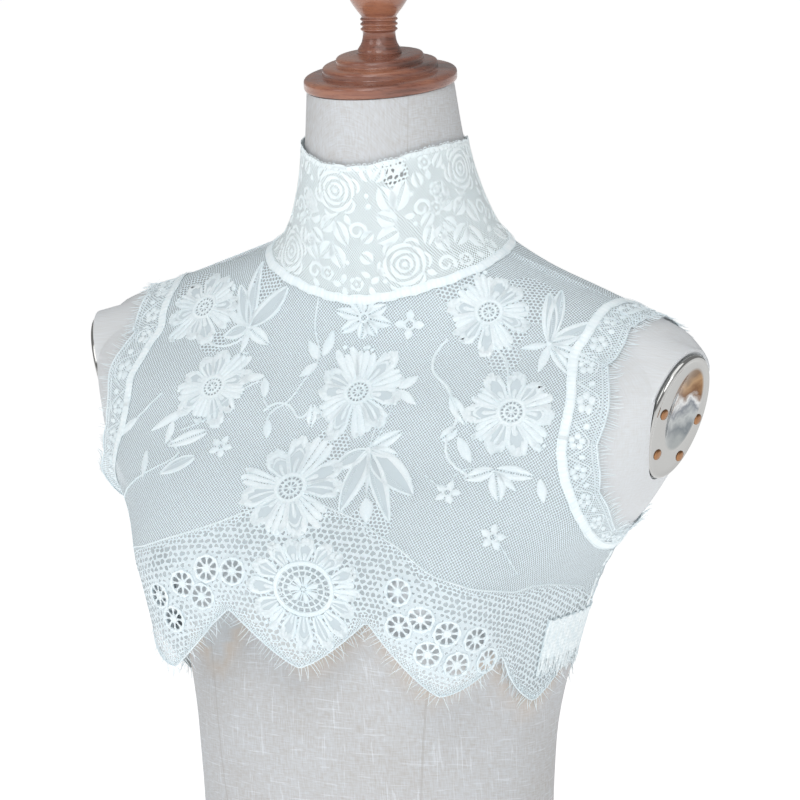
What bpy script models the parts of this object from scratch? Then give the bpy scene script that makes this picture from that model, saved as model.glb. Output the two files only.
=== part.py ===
"""Lace collar on a dress form.

A sleeveless yoke of white floral lace with a high stand collar, worn on a limbless linen-covered dress form.
Metres, +Z up. The form faces -Y, its left side is +X, and it stands on its flat base at z = 0.

The form is a stack of tilted oval sections. Every piece of lace is drawn as (angle round the form, height)
and laid on one draped surface: the tape-measure line round each section, hanging free below the bust.
"""
import bmesh
import bpy
import numpy as np
from math import cos, pi, radians, sin, tau
from mathutils.geometry import delaunay_2d_cdt

# ---------------------------------------------------------------- sizes
# level, half width, front depth, back depth, middle y, squareness, forward tilt in degrees
SECTIONS = np.array([
    (0.000, .1720, .118, .1160, .000, 2.2, 0.0),
    (0.060, .1690, .114, .1160, -.001, 2.2, 0.0),
    (0.130, .1430, .104, .0980, -.002, 2.2, 0.0),
    (0.205, .1130, .095, .0860, -.003, 2.2, 0.0),
    (0.270, .1155, .103, .0830, -.004, 2.2, 0.0),
    (0.330, .1260, .109, .0900, -.002, 2.2, 0.0),
    (0.385, .1420, .113, .0980, .000, 2.3, 0.0),
    (0.430, .1750, .109, .1030, .002, 2.5, 0.0),
    (0.465, .1930, .096, .1000, .006, 2.7, 0.5),
    (0.492, .2020, .086, .0940, .008, 2.6, 2.0),
    (0.512, .2100, .076, .0860, .012, 2.2, 3.5),
    (0.530, .2000, .068, .0770, .014, 1.8, 5.5),
    (0.550, .1540, .062, .0690, .013, 1.7, 7.5),
    (0.566, .1060, .060, .0650, .011, 1.8, 9.0),
    (0.582, .0755, .059, .0610, .008, 1.9, 10.0),
    (0.602, .0610, .058, .0605, .003, 2.0, 10.0),
    (0.640, .0490, .055, .0570, -.005, 2.0, 8.0),
    (0.681, .0437, .055, .0525, -.011, 2.0, 7.0)])
FORM_LEVELS = [0, .012, .07, .13, .17, .205, .24, .275, .305, .330, .350, .367, .382, .396, .412, .430, .450,
               .468, .485, .500, .512, .524, .536, .547, .556, .564, .571, .578, .586, .596, .612, .645, .681]
FORM_COLUMNS = 32
BUST = dict(level=.385, angle=36, spread=24, rise=.052, out=.036)
CAP_TILT = 7.0

CLOTH_GAP = .0008          # cloth above the linen
CLOTH = .0010              # thickness of lace, tape and elastic
SEAM = .00015              # half of the parting between two sewn pieces
OVER = CLOTH_GAP + CLOTH + .0007   # where a tape that lies on the lace begins

SEAM_ANGLE = 96            # side and shoulder seams
HEM_REPEAT = .092          # one scallop
HEM_START = .006           # middle of the front scallop, along the hem from the centre front
PLATE_MIDDLE, PLATE_HALF = (.1948, .002, .4850), (.0408, .0294)
PLATE_LEAN, PLATE_TURN = 17.2, 10.5        # degrees: how far a plate looks down, and how far it looks forward


# ---------------------------------------------------------------- the form's surface
def between(x, y, q):
    """Monotone cubic through the table y(x)."""
    h, d = np.diff(x), np.diff(y) / np.diff(x)
    m = np.zeros_like(y)
    for i in range(1, len(x) - 1):
        if d[i - 1] * d[i] > 0:
            w1, w2 = 2 * h[i] + h[i - 1], h[i] + 2 * h[i - 1]
            m[i] = (w1 + w2) / (w1 / d[i - 1] + w2 / d[i])
    m[0], m[-1] = d[0], d[-1]
    i = np.clip(np.searchsorted(x, q) - 1, 0, len(x) - 2)
    t, h = (q - x[i]) / h[i], h[i]
    return ((1 + 2 * t) * (1 - t) ** 2 * y[i] + t * (1 - t) ** 2 * h * m[i]
            + t * t * (3 - 2 * t) * y[i + 1] + t * t * (t - 1) * h * m[i + 1])


def form_point(angle, level):
    """Point of the linen at an angle (radians, 0 in front, + towards +X) and a section level."""
    angle, level = np.broadcast_arrays(np.asarray(angle, float), np.asarray(level, float))
    half, front, back, mid, square, tilt = (between(SECTIONS[:, 0], SECTIONS[:, k], level) for k in range(1, 7))
    depth = np.where(np.cos(angle) > 0, front, back)
    r = (np.abs(np.sin(angle) / half) ** square + np.abs(np.cos(angle) / depth) ** square) ** (-1 / square)
    for side in (-1, 1):
        r = r + BUST["out"] * np.exp(-((np.degrees(angle) - side * BUST["angle"]) / BUST["spread"]) ** 2
                                     - ((level - BUST["level"]) / BUST["rise"]) ** 2)
    return np.stack([r * np.sin(angle), mid - r * np.cos(angle),
                     level - np.tan(np.radians(tilt)) * r * np.cos(angle)], -1)


# ---------------------------------------------------------------- the draped surface
STEP_Z, STEP_A = .002, radians(3)
HEIGHTS = np.arange(.20, .70, STEP_Z)
ANGLES = np.arange(-pi, pi + 1e-9, STEP_A)


def tape_line():
    """Radius of the tape-measure line round the form at every height: hollows are bridged."""
    columns = np.arange(-pi, pi, radians(1.5))
    points = form_point(columns[:, None], np.arange(.15, .681, .001)[None])
    xs = np.array([np.interp(HEIGHTS, p[:, 2], p[:, 0]) for p in points])
    ys = np.array([np.interp(HEIGHTS, p[:, 2], p[:, 1]) for p in points])
    reach = np.sin(columns)[:, None, None] * xs[None] - np.cos(columns)[:, None, None] * ys[None]
    support = reach.max(1)                                     # direction x height
    lean = np.cos(ANGLES[:, None] - columns[None])
    return np.array([np.where(lean > .02, support[:, j][None] / np.maximum(lean, .02), 9).min(1)
                     for j in range(len(HEIGHTS))]).T


def drape(line):
    """Below the bust the cloth hangs: it falls back only a little for every metre it drops."""
    out = line.copy()
    for i, a in enumerate(ANGLES):
        c = cos(a)
        fall = .12 + .50 * (1 - c) ** 1.2 if c > 0 else .62 - .25 * abs(c)
        free = .47 if abs(c) > .6 else .40
        for j in range(len(HEIGHTS) - 2, -1, -1):
            if HEIGHTS[j] < free:
                out[i, j] = max(out[i, j], out[i, j + 1] - fall * STEP_Z)
    for _ in range(3):
        out[:, 1:-1] = .25 * out[:, :-2] + .5 * out[:, 1:-1] + .25 * out[:, 2:]
        ring = .25 * np.roll(out[:-1], 1, 0) + .5 * out[:-1] + .25 * np.roll(out[:-1], -1, 0)
        out = np.concatenate([ring, ring[:1]])
    # a little ease over the bust, where the chest turns under the arm, and below the armhole
    across, height = np.abs(np.degrees(ANGLES))[:, None], HEIGHTS[None]
    ease = .0012 * np.exp(-((across - 57) / 16) ** 2 - ((height - .428) / .032) ** 2)
    ease += .0006 * np.exp(-((across - 40) / 18) ** 2 - ((height - .385) / .035) ** 2)
    ease += .0006 * np.exp(-((across - 104) / 16) ** 2 - ((height - .371) / .022) ** 2)
    return np.maximum(out, line) + ease


DRAPE = drape(tape_line())


def radius(angle, height):
    u = ((angle + pi) % tau) / STEP_A
    v = np.clip((height - HEIGHTS[0]) / STEP_Z, 0, len(HEIGHTS) - 1.001)
    i, j = np.minimum(np.floor(u).astype(int), len(ANGLES) - 2), np.floor(v).astype(int)
    u, v = u - i, v - j
    return ((DRAPE[i, j] * (1 - u) + DRAPE[i + 1, j] * u) * (1 - v)
            + (DRAPE[i, j + 1] * (1 - u) + DRAPE[i + 1, j + 1] * u) * v)


def on_drape(angle, height):
    r = radius(angle, height)
    return np.stack([r * np.sin(angle), -r * np.cos(angle), height], -1)


def normal(angle, height, a=radians(3), h=.004):
    """Outward normal of the draped surface."""
    n = np.cross(on_drape(angle + a, height) - on_drape(angle - a, height),
                 on_drape(angle, height + h) - on_drape(angle, height - h))
    return n / np.linalg.norm(n, axis=-1, keepdims=True)


def lay(points, lift):
    """Points given as (angle in degrees, height), laid on the draped surface and lifted off it."""
    points = np.asarray(points, float)
    a, h = np.radians(points[:, 0]), points[:, 1]
    return on_drape(a, h) + normal(a, h) * np.asarray(lift, float).reshape(-1, 1)


def read_off(p):
    """(angle in degrees, height) of points in space."""
    return np.stack([np.degrees(np.arctan2(p[:, 0], -p[:, 1])), p[:, 2]], -1)


def aside(curve, distance, closed=True):
    """The curve moved sideways on the surface (+ is to the right of its direction, seen from outside)."""
    base = lay(curve, 0)
    n = normal(np.radians(curve[:, 0]), curve[:, 1])
    if closed:
        t = np.roll(base, -1, 0) - np.roll(base, 1, 0)
    else:
        t = np.gradient(base, axis=0)
    s = np.cross(t, n)
    s /= np.linalg.norm(s, axis=1, keepdims=True)
    moved = read_off(base + s * np.asarray(distance, float).reshape(-1, 1))
    moved[:, 0] = curve[:, 0] + (moved[:, 0] - curve[:, 0] + 180) % 360 - 180
    return moved


# ---------------------------------------------------------------- outlines
def neck_line(angle):
    c = np.cos(np.radians(angle))
    return .578 - .0275 * np.maximum(c, 0) - .018 * np.minimum(c, 0)


def collar_top(angle):
    return .647 - .0125 * np.maximum(0, np.cos(np.radians(angle))) ** 4


def armhole(t):
    """Armhole of the form's left, t round it in radians: the front at 0, the top at pi/2."""
    return np.stack([SEAM_ANGLE - (30.0 - 8.5 * np.sin(t)) * np.cos(t), .4755 + .0755 * np.sin(t)], -1)


HEM_ANGLES = np.radians(np.arange(-180, 181, 1.0))
hem_level = on_drape(HEM_ANGLES, np.full_like(HEM_ANGLES, .345))
HEM_RUN = np.concatenate([[0], np.cumsum(np.linalg.norm(np.diff(hem_level, axis=0), axis=1))])
HEM_RUN -= np.interp(0, HEM_ANGLES, HEM_RUN)


def hem_base(run):
    """Height of the line that joins the tops of the scallops: it drops towards the sides."""
    return .366 - .255 * np.clip(np.abs(run) - .052, 0, .105)


def hem(run):
    """(angle, height) of the scalloped hem at a run along it from the centre front."""
    off = (run - HEM_START + HEM_REPEAT / 2) % HEM_REPEAT - HEM_REPEAT / 2
    scallop = .033 * (1 - np.abs(off / (HEM_REPEAT / 2)) ** 1.35)
    return np.stack([np.degrees(np.interp(run, HEM_RUN, HEM_ANGLES)), hem_base(run) - scallop], -1)


def run_at(angle):
    return float(np.interp(radians(angle), HEM_ANGLES, HEM_RUN))


# ring flowers of every second scallop: (run from the scallop's middle, height over the base line)
RING_FLOWERS = [(-.031, .026), (-.0175, .0133), (-.030, .0046), (-.002, .0082),
                (-.0125, -.0075), (.017, .0081), (.0055, -.0103), (.028, -.0041)]
RING_FLOWERS_RIGHT = [(.017, .0180), (-.003, .0130), (.033, .0245), (.0065, -.0030), (.050, .0240), (.029, .0080)]
FLOWER_SIZE, HOLE_SIZE = .0075, .0023


def ring_holes(first, last):
    """Outlines of the holes of the ring flowers between two runs, as (angle, height)."""
    holes = []
    for k in range(-4, 5, 2):
        middle = HEM_START + (k + 1) * HEM_REPEAT
        for run, over in (RING_FLOWERS_RIGHT if k == -2 else RING_FLOWERS):
            spot = middle + run + (0 if k == -2 else .0045)
            if not first + .011 < spot < last - .011:
                continue
            centre = np.array([[np.degrees(np.interp(spot, HEM_RUN, HEM_ANGLES)), hem_base(spot) + over]])
            p = lay(centre, 0)[0]
            n = normal(np.radians(centre[:, 0]), centre[:, 1])[0]
            side = np.cross((0, 0, 1), n)
            side /= np.linalg.norm(side)
            up = np.cross(n, side)
            for turn in tau * (np.arange(5) + .25) / 5:
                holes.append(read_off(np.array([
                    p + side * (FLOWER_SIZE * .64 * cos(turn) + HOLE_SIZE * cos(turn + q))
                    + up * (FLOWER_SIZE * .64 * sin(turn) + HOLE_SIZE * sin(turn + q))
                    for q in (0, pi / 2, pi, 3 * pi / 2)])))
    return holes


# ---------------------------------------------------------------- making meshes
for old in list(bpy.data.objects):
    bpy.data.objects.remove(old, do_unlink=True)
home = bpy.data.collections.new("lace_collar")
bpy.context.scene.collection.children.link(home)
cutters = bpy.data.collections.new("cutters")
bpy.context.scene.collection.children.link(cutters)


def material(name, color, roughness, metallic=0.0):
    m = bpy.data.materials.new(name)
    m.use_nodes = True
    b = m.node_tree.nodes["Principled BSDF"]
    b.inputs["Base Color"].default_value = (*color, 1)
    b.inputs["Roughness"].default_value = roughness
    b.inputs["Metallic"].default_value = metallic
    return m


def put(name, verts, faces, mat, where=home):
    mesh = bpy.data.meshes.new(name)
    mesh.from_pydata([tuple(map(float, v)) for v in verts], [], faces)
    body = bmesh.new()
    body.from_mesh(mesh)
    bmesh.ops.recalc_face_normals(body, faces=body.faces)
    body.to_mesh(mesh)
    body.free()
    if mat:
        mesh.materials.append(mat)
    ob = bpy.data.objects.new(name, mesh)
    where.objects.link(ob)
    return ob


def loft(name, rings, mat, where=home):
    """Closed body through rings of the same count, flat at both ends."""
    count = len(rings[0])
    verts = [p for ring in rings for p in ring]
    faces = [(r * count + i, r * count + (i + 1) % count, (r + 1) * count + (i + 1) % count, (r + 1) * count + i)
             for r in range(len(rings) - 1) for i in range(count)]
    faces.append(tuple(range(count))[::-1])
    faces.append(tuple(range((len(rings) - 1) * count, len(rings) * count)))
    return put(name, verts, faces, mat, where)


def shell(name, flat, faces, mat, lift, thick=CLOTH):
    """A sheet of cloth: faces over (angle, height) points, laid at a lift, with its edges closed."""
    lift = np.broadcast_to(np.asarray(lift, float), len(flat))
    n = len(flat)
    verts = np.concatenate([lay(flat, lift), lay(flat, lift + thick)])
    sides = {}
    for f in faces:
        for i in range(len(f)):
            sides[(f[i], f[(i + 1) % len(f)])] = True
    rim = [(b, a, a + n, b + n) for a, b in sides if (b, a) not in sides]
    skin = [tuple(i + n for i in f) for f in faces] + [tuple(reversed(f)) for f in faces]
    return put(name, verts, skin + rim, mat)


def inside(p, loop):
    x, y = p
    hit = False
    for (x1, y1), (x2, y2) in zip(loop, np.roll(loop, -1, 0)):
        if (y1 > y) != (y2 > y) and x < (x2 - x1) * (y - y1) / (y2 - y1) + x1:
            hit = not hit
    return hit


def cut_out(name, outline, holes, mat, spacing, lift=CLOTH_GAP):
    """A panel inside an outline with holes, filled with even triangles."""
    wide = .0022                                   # metres of cloth per degree, near enough for the filling

    def flat(q):
        q = np.asarray(q, float)
        return np.stack([q[..., 0] * wide, np.where(q[..., 1] > .5, .5 + (q[..., 1] - .5) * 1.7, q[..., 1])], -1)

    def back(q):
        return np.stack([q[:, 0] / wide, np.where(q[:, 1] > .5, .5 + (q[:, 1] - .5) / 1.7, q[:, 1])], -1)

    loops = [flat(outline)] + [flat(h) for h in holes]
    points, edges = [], []
    for loop in loops:
        edges += [(len(points) + i, len(points) + (i + 1) % len(loop)) for i in range(len(loop))]
        points += list(loop)
    rim = np.array(points)
    low, high = loops[0].min(0), loops[0].max(0)
    row = 0
    y = low[1] + spacing * .5
    while y < high[1]:
        for x in np.arange(low[0] + spacing * (.25 + .5 * (row % 2)), high[0], spacing):
            if np.min(np.hypot(rim[:, 0] - x, rim[:, 1] - y)) > spacing * .45 and inside((x, y), loops[0]) \
                    and not any(inside((x, y), h) for h in loops[1:]):
                points.append(np.array((x, y)))
        y += spacing * .87
        row += 1
    vs, _, fs, *_ = delaunay_2d_cdt([tuple(p) for p in points], edges, [], 0, 1e-7)
    vs = np.array([tuple(v) for v in vs])
    keep = []
    for f in fs:
        middle = vs[list(f)].mean(0)
        if inside(middle, loops[0]) and not any(
                np.hypot(*(middle - h.mean(0))) < .01 and inside(middle, h) for h in loops[1:]):
            a, b, c = (vs[i] for i in f)
            f = list(f)
            if (b[0] - a[0]) * (c[1] - a[1]) - (b[1] - a[1]) * (c[0] - a[0]) < 0:
                f.reverse()
            keep.append(tuple(f))
    return shell(name, back(vs), keep, mat, lift)


def strip(name, rows, mat, lifts, closed, thick=CLOTH):
    """A band of cloth over rows of (angle, height) points; the first row is its lower or right edge."""
    count = len(rows[0])
    flat = np.concatenate(rows)
    lifts = np.concatenate([np.broadcast_to(np.asarray(q, float), count) for q in lifts])
    faces = []
    for r in range(len(rows) - 1):
        for i in range(count if closed else count - 1):
            j = (i + 1) % count
            faces.append((r * count + i, r * count + j, (r + 1) * count + j, (r + 1) * count + i))
    return shell(name, flat, faces, mat, lifts, thick)


def fringe(name, inner, outer, tips, mat, lift, closed):
    """Eyelash strands fused into a narrow three-cornered strip; every second span has a strand."""
    lift = np.broadcast_to(np.asarray(lift, float), len(inner))
    n = len(inner)
    verts = [*lay(inner, lift + .0005), *lay(outer, lift), *lay(outer, lift + .0009)]
    ends = lay(tips, lift + .0004)
    faces = []
    for i in range(n if closed else n - 1):
        j = (i + 1) % n
        faces += [(i, 2 * n + i, 2 * n + j, j), (j, n + j, n + i, i)]
        if i % 2:
            faces.append((2 * n + i, n + i, n + j, 2 * n + j))
        else:
            t = len(verts)
            verts.append((ends[i] + ends[j]) / 2)
            faces += [(2 * n + i, t, 2 * n + j), (2 * n + i, n + i, t), (n + i, n + j, t), (n + j, 2 * n + j, t)]
    if not closed:
        faces += [(0, n, 2 * n), (n - 1, 3 * n - 1, 2 * n - 1)]
    return put(name, verts, faces, mat)


def mirrored(points):
    return np.stack([-points[:, 0], points[:, 1]], -1)


# ---------------------------------------------------------------- materials
linen = material("linen", (.63, .60, .55), .9)
wood = material("turned wood", (.20, .065, .03), .35)
chrome = material("chrome", (.78, .76, .72), .18, 1.0)
lace = material("lace", (.86, .92, .93), .8)
galloon = material("galloon lace", (.88, .93, .94), .8)
tape = material("tape", (.90, .95, .96), .7)
covered = material("covered button", (.90, .93, .94), .5)

# ---------------------------------------------------------------- the dress form
turns = np.arange(FORM_COLUMNS) * tau / FORM_COLUMNS
form = loft("form_body", [form_point(turns, np.full_like(turns, z)) for z in FORM_LEVELS], linen)


def seat_frame(side):
    """Middle, slant, depth and outward directions of an arm plate."""
    lean, turn = radians(PLATE_LEAN), radians(PLATE_TURN)
    return (np.array([side * PLATE_MIDDLE[0], PLATE_MIDDLE[1], PLATE_MIDDLE[2]]),
            np.array([side * sin(lean) * cos(turn), -sin(lean) * sin(turn), cos(lean)]),
            np.array([side * sin(turn), cos(turn), 0]),
            np.array([side * cos(lean) * cos(turn), -cos(lean) * sin(turn), -sin(lean)]))


def oval(side, a, b, out, count, rise=0.0, aft=0.0):
    """Oval ring round a plate's middle, `out` metres outward of its back, `rise` up its slant, `aft` rearwards."""
    c, slant, depth, outward = seat_frame(side)
    return [c + outward * out + slant * (a * cos(t) + rise) + depth * (b * sin(t) * side + aft)
            for t in np.arange(count) * tau / count]


def boolean(ob, cutter, operation):
    cutter.hide_render, cutter.display_type = True, "WIRE"
    m = ob.modifiers.new(cutter.name, "BOOLEAN")
    m.operation, m.object, m.solver = operation, cutter, "EXACT"


# a rim round a flat ring and a shallow dish; share of the half length, share of the half width, out, rise, aft
PLATE_RINGS = [(.985, .985, 0, 0, 0), (1, 1, .0008, 0, 0), (1, 1, .0028, 0, 0), (.965, .955, .0040, 0, 0),
               (.66, .59, .0036, .0050, .0040), (.50, .44, .0014, .0050, .0040), (.22, .20, .0006, .0050, .0040)]
for side, label in ((1, "left"), (-1, "right")):
    grow = .0030
    stump = loft(f"stump_{label}", [oval(side, PLATE_HALF[0] + grow, PLATE_HALF[1] + grow, out, 22)
                                    for out in (-.030, .0004)], None, cutters)
    boolean(form, stump, "UNION")
    recess = loft(f"recess_{label}", [oval(side, PLATE_HALF[0] + .0012, PLATE_HALF[1] + .0012, out, 22)
                                      for out in (-.0003, .030)], None, cutters)
    boolean(form, recess, "DIFFERENCE")
    a, b = PLATE_HALF
    loft(f"arm_plate_{label}", [oval(side, a * s, b * q, out, 24, *shift) for s, q, out, *shift in PLATE_RINGS], chrome)

# ---------------------------------------------------------------- the neck cap: oval steps, column, knob
STEPS = [(.0440, .0550, .0003), (.0455, .0565, .0016), (.0455, .0565, .0062), (.0435, .0545, .0082),
         (.0345, .0425, .0088), (.0345, .0425, .0126), (.0330, .0410, .0142), (.0262, .0320, .0148),
         (.0262, .0320, .0182), (.0245, .0300, .0196)]
COLUMN = [(.0138, .0004), (.0136, .0030), (.0110, .0072), (.0102, .0132), (.0114, .0154), (.0102, .0178),
          (.0116, .0202), (.0106, .0228), (.0140, .0272), (.0188, .0352), (.0214, .0462), (.0200, .0592),
          (.0130, .0702), (.0050, .0762)]


def tilted_oval(base, tilt, across, along, rise):
    lean = radians(tilt)
    up, ahead = np.array([0, -sin(lean), cos(lean)]), np.array([0, -cos(lean), -sin(lean)])
    return [base + up * rise + np.array([across * sin(t), 0, 0]) + ahead * along * cos(t)
            for t in np.arange(20) * tau / 20]


cap_base = np.array([0, SECTIONS[-1][4], SECTIONS[-1][0]])
column_base = cap_base + np.array([0, -sin(radians(CAP_TILT)), cos(radians(CAP_TILT))]) * STEPS[-1][2]
loft("neck_cap", [tilted_oval(cap_base, CAP_TILT, *step) for step in STEPS]
     + [tilted_oval(column_base, CAP_TILT / 2, r, r, z) for r, z in COLUMN], wood)

# ---------------------------------------------------------------- the lace yoke
PARTED = .10                                       # degrees between a seam line and a cut edge
SIDES = ((1, "left"), (-1, "right"))
hole_turns = np.arange(44) * tau / 44
front_turns = [t for t in hole_turns if armhole(t)[0] < SEAM_ANGLE - 1.2]
back_turns = [t for t in hole_turns if armhole(t)[0] > SEAM_ANGLE + 1.2]
front_arc = armhole(np.array(sorted(front_turns, key=lambda t: -((t + pi / 2) % tau))))     # top to bottom
back_arc = armhole(np.array(sorted(back_turns, key=lambda t: (t - pi / 2) % tau)))          # top to bottom
shoulder, underarm = armhole(np.array([pi / 2, -pi / 2]))[:, 1] + (.0002, -.0002)


def down(angle, high, low, count):
    """Points down a seam, without its ends."""
    return np.stack([np.full(count, angle), np.linspace(high, low, count + 2)[1:-1]], -1)


def hem_points(first, last):
    return hem(np.linspace(first, last, round(abs(last - first) / .0077) + 1))


def neck_points(first, last, count):
    return np.array([(a, neck_line(a) - 2 * SEAM) for a in np.linspace(first, last, count)])


edge = SEAM_ANGLE - PARTED
ends = run_at(-edge), run_at(edge)
hem_edge = hem_points(ends[1], ends[0])
left_side = np.concatenate([[[edge, shoulder]], front_arc, [[edge, underarm]],
                            down(edge, underarm, hem_edge[0, 1], 4)])
right_side = np.concatenate([[[edge, shoulder]], front_arc, [[edge, underarm]],
                             down(edge, underarm, hem_edge[-1, 1], 4)])
cut_out("front_panel", np.concatenate([neck_points(-edge, edge, 25), left_side, hem_edge,
                                       mirrored(right_side)[::-1]]), ring_holes(*ends), lace, .0160)
hem_edges = [("hem_fringe_front", hem_edge[::-1])]

for side, label in SIDES:
    edge, middle = SEAM_ANGLE + PARTED, 180 - .15
    first, last = run_at(side * edge), run_at(side * middle)
    hem_edge = hem_points(first, last) * (side, 1)
    loop = np.concatenate([neck_points(middle, edge, 12), [[edge, shoulder]], back_arc, [[edge, underarm]],
                           down(edge, underarm, hem_edge[0, 1], 4), hem_edge,
                           down(middle, hem_edge[-1, 1], neck_line(middle), 15)])
    cut_out(f"back_panel_{label}", loop * (side, 1), ring_holes(min(first, last), max(first, last)), lace, .0200)
    hem_edges.append((f"hem_fringe_back_{label}", hem_edge[::side] * (side, 1)))

for name, line in hem_edges:
    edge = np.empty((2 * len(line) - 1, 2))
    edge[::2], edge[1::2] = line, (line[1:] + line[:-1]) / 2
    edge[0, 0], edge[-1, 0] = edge[0, 0] + .2, edge[-1, 0] - .2
    fringe(name, edge - (0, .0005), edge - (0, .0023), edge - (0, .0078), lace, CLOTH_GAP, False)

# ---------------------------------------------------------------- the stand collar and the tape over its seam
around = np.linspace(-180 + .16, 180 - .16, 41)
foot = neck_line(around) + 2 * SEAM
rows, lifts = [], []
for f in (0, .08, .20, .45, 1):
    rows.append(np.stack([around, foot + (collar_top(around) - foot) * f], -1))
    lifts.append(CLOTH_GAP + .0032 * f ** 2)
strip("collar_band", rows, galloon, lifts, False)

seam_run = around * .9995
seam_line = np.stack([seam_run, neck_line(seam_run)], -1)
strip("neck_tape", [aside(seam_line, .003, False), aside(seam_line, -.003, False)], tape, [OVER, OVER], False)

for i, share in enumerate((.20, .50, .80)):
    height = neck_line(180) + (collar_top(180) - neck_line(180)) * share
    n = normal(np.array([pi]), np.array([height]))[0]
    base = lay([(180, height)], CLOTH_GAP + .0032 * share ** 1.5 + CLOTH + .0005)[0]
    across = np.cross((0, 0, 1), n)
    across /= np.linalg.norm(across)
    upward = np.cross(n, across)
    loft(f"collar_button_{i + 1}", [[base + n * rise + (across * cos(t) + upward * sin(t)) * r
                                    for t in np.arange(10) * tau / 10]
                                   for r, rise in ((.0030, 0), (.0038, .0010), (.0034, .0024), (.0016, .0034))],
         covered)

# ---------------------------------------------------------------- armholes, side seams, elastics
for side, label in SIDES:
    def piece(name, lines, mat, lifts, closed=True):
        """A band on this side of the form; the lines are given for the left one."""
        if side < 0:
            lines, lifts = [mirrored(q)[::-1] for q in lines], [np.asarray(q)[::-1] for q in lifts]
        return strip(f"{name}_{label}", lines, mat, lifts, closed)

    t = -hole_turns                                      # down the front and up the back
    ring = armhole(t)
    piece("armhole_tape", [aside(ring, .0015), aside(ring, -.0045)], tape, [np.full(len(t), OVER)] * 2)

    # the edging lies inside the armhole on the linen; under the form's right arm it stands off
    width = .0225 + .0022 * np.abs(np.sin(5.5 * t)) - .0095 * np.maximum(0, -np.sin(t)) ** 2
    stand = .0004 + (.011 * np.exp(-((t + 1.05) / .42) ** 2) if side < 0 else 0)
    shares = (0, .36, .68, 1)
    lines = [aside(ring, -(.0004 + f * width)) for f in shares]
    lifts = [CLOTH_GAP + stand * max(0, (f - .36) / .64) ** 1.2 + 0 * t for f in shares]
    piece("armhole_trim", lines, lace, lifts)
    lines = [aside(ring, -(.0004 + width + d)) for d in (.0004, .0020, .0072)]
    lift = lifts[-1]
    if side < 0:
        lines, lift = [mirrored(q)[::-1] for q in lines], lift[::-1]
    fringe(f"trim_fringe_{label}", *lines, lace, lift, True)

    for name, heights, half, mat in (("side_tape", (.3970, .3600), 1.5, tape),
                                     ("side_elastic", (.3590, .3165), 23.0, tape)):
        count = 3 if half < 5 else 9
        line = np.linspace(SEAM_ANGLE - half, SEAM_ANGLE + half, count)
        levels = np.linspace(heights[1], heights[0], 4)
        piece(name, [np.stack([line, np.full(count, z)], -1) for z in levels], mat,
              [np.full(count, OVER)] * 4, closed=False)
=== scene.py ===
# %% [markdown]
# # A lace collar on a dress form
#
# A sleeveless yoke of white floral lace with a high stand collar, worn on a linen-covered dress form.
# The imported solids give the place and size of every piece. This lesson makes the pieces that show: the smooth
# form, the net, the raised thread work, the tapes and the eyelashes. Metres, +Z up, the form faces -Y.

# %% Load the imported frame
import bmesh
import bpy
import numpy as np
from math import cos, pi, radians, sin, tau
from mathutils import Matrix
from mathutils.geometry import delaunay_2d_cdt


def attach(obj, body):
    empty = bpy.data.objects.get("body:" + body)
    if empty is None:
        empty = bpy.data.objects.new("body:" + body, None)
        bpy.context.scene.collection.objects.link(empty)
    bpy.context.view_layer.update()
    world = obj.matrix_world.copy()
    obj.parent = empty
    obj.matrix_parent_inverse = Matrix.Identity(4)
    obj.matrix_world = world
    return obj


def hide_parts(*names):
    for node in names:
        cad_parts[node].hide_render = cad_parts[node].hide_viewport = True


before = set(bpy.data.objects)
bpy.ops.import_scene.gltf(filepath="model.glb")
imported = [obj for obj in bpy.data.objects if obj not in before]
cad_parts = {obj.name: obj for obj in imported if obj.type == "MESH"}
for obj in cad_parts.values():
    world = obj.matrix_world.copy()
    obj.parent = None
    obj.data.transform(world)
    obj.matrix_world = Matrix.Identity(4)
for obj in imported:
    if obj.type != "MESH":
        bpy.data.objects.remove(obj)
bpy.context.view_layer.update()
print("solids:", len(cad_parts))

# %% [markdown]
# ## Camera, floor and light
#
# The camera looks a little down on the form from its left front, through a long lens. A wide pale floor and
# a few large soft lamps make plain studio light: big lamps give soft shadows, which lace needs to stay
# readable.

# %% Camera
def placed(*columns):
    """The matrix of an object from its three axes and its place."""
    return Matrix([[*map(float, row)] for row in np.column_stack(columns)] + [[0, 0, 0, 1]])


AZIMUTH, ELEVATION, ROLL, DISTANCE = radians(25.76), radians(8.33), radians(.49), 2.578
back = np.array([sin(AZIMUTH) * cos(ELEVATION), -cos(AZIMUTH) * cos(ELEVATION), sin(ELEVATION)])
across = np.array([cos(AZIMUTH), sin(AZIMUTH), 0])
upward = np.cross(back, across)
across, upward = across * cos(ROLL) + upward * sin(ROLL), upward * cos(ROLL) - across * sin(ROLL)
eye = np.array([0, 0, .455]) + back * DISTANCE
camera = bpy.data.objects.new("camera", bpy.data.cameras.new("camera"))
camera.matrix_world = placed(across, upward, back, eye)
camera.data.lens, camera.data.sensor_width = 183.3, 36
camera.data.shift_x, camera.data.shift_y = .0180, .0523
camera.data.clip_end = 60
bpy.context.scene.collection.objects.link(camera)
bpy.context.scene.camera = camera
print("camera", [round(float(q), 3) for q in eye])


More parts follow.
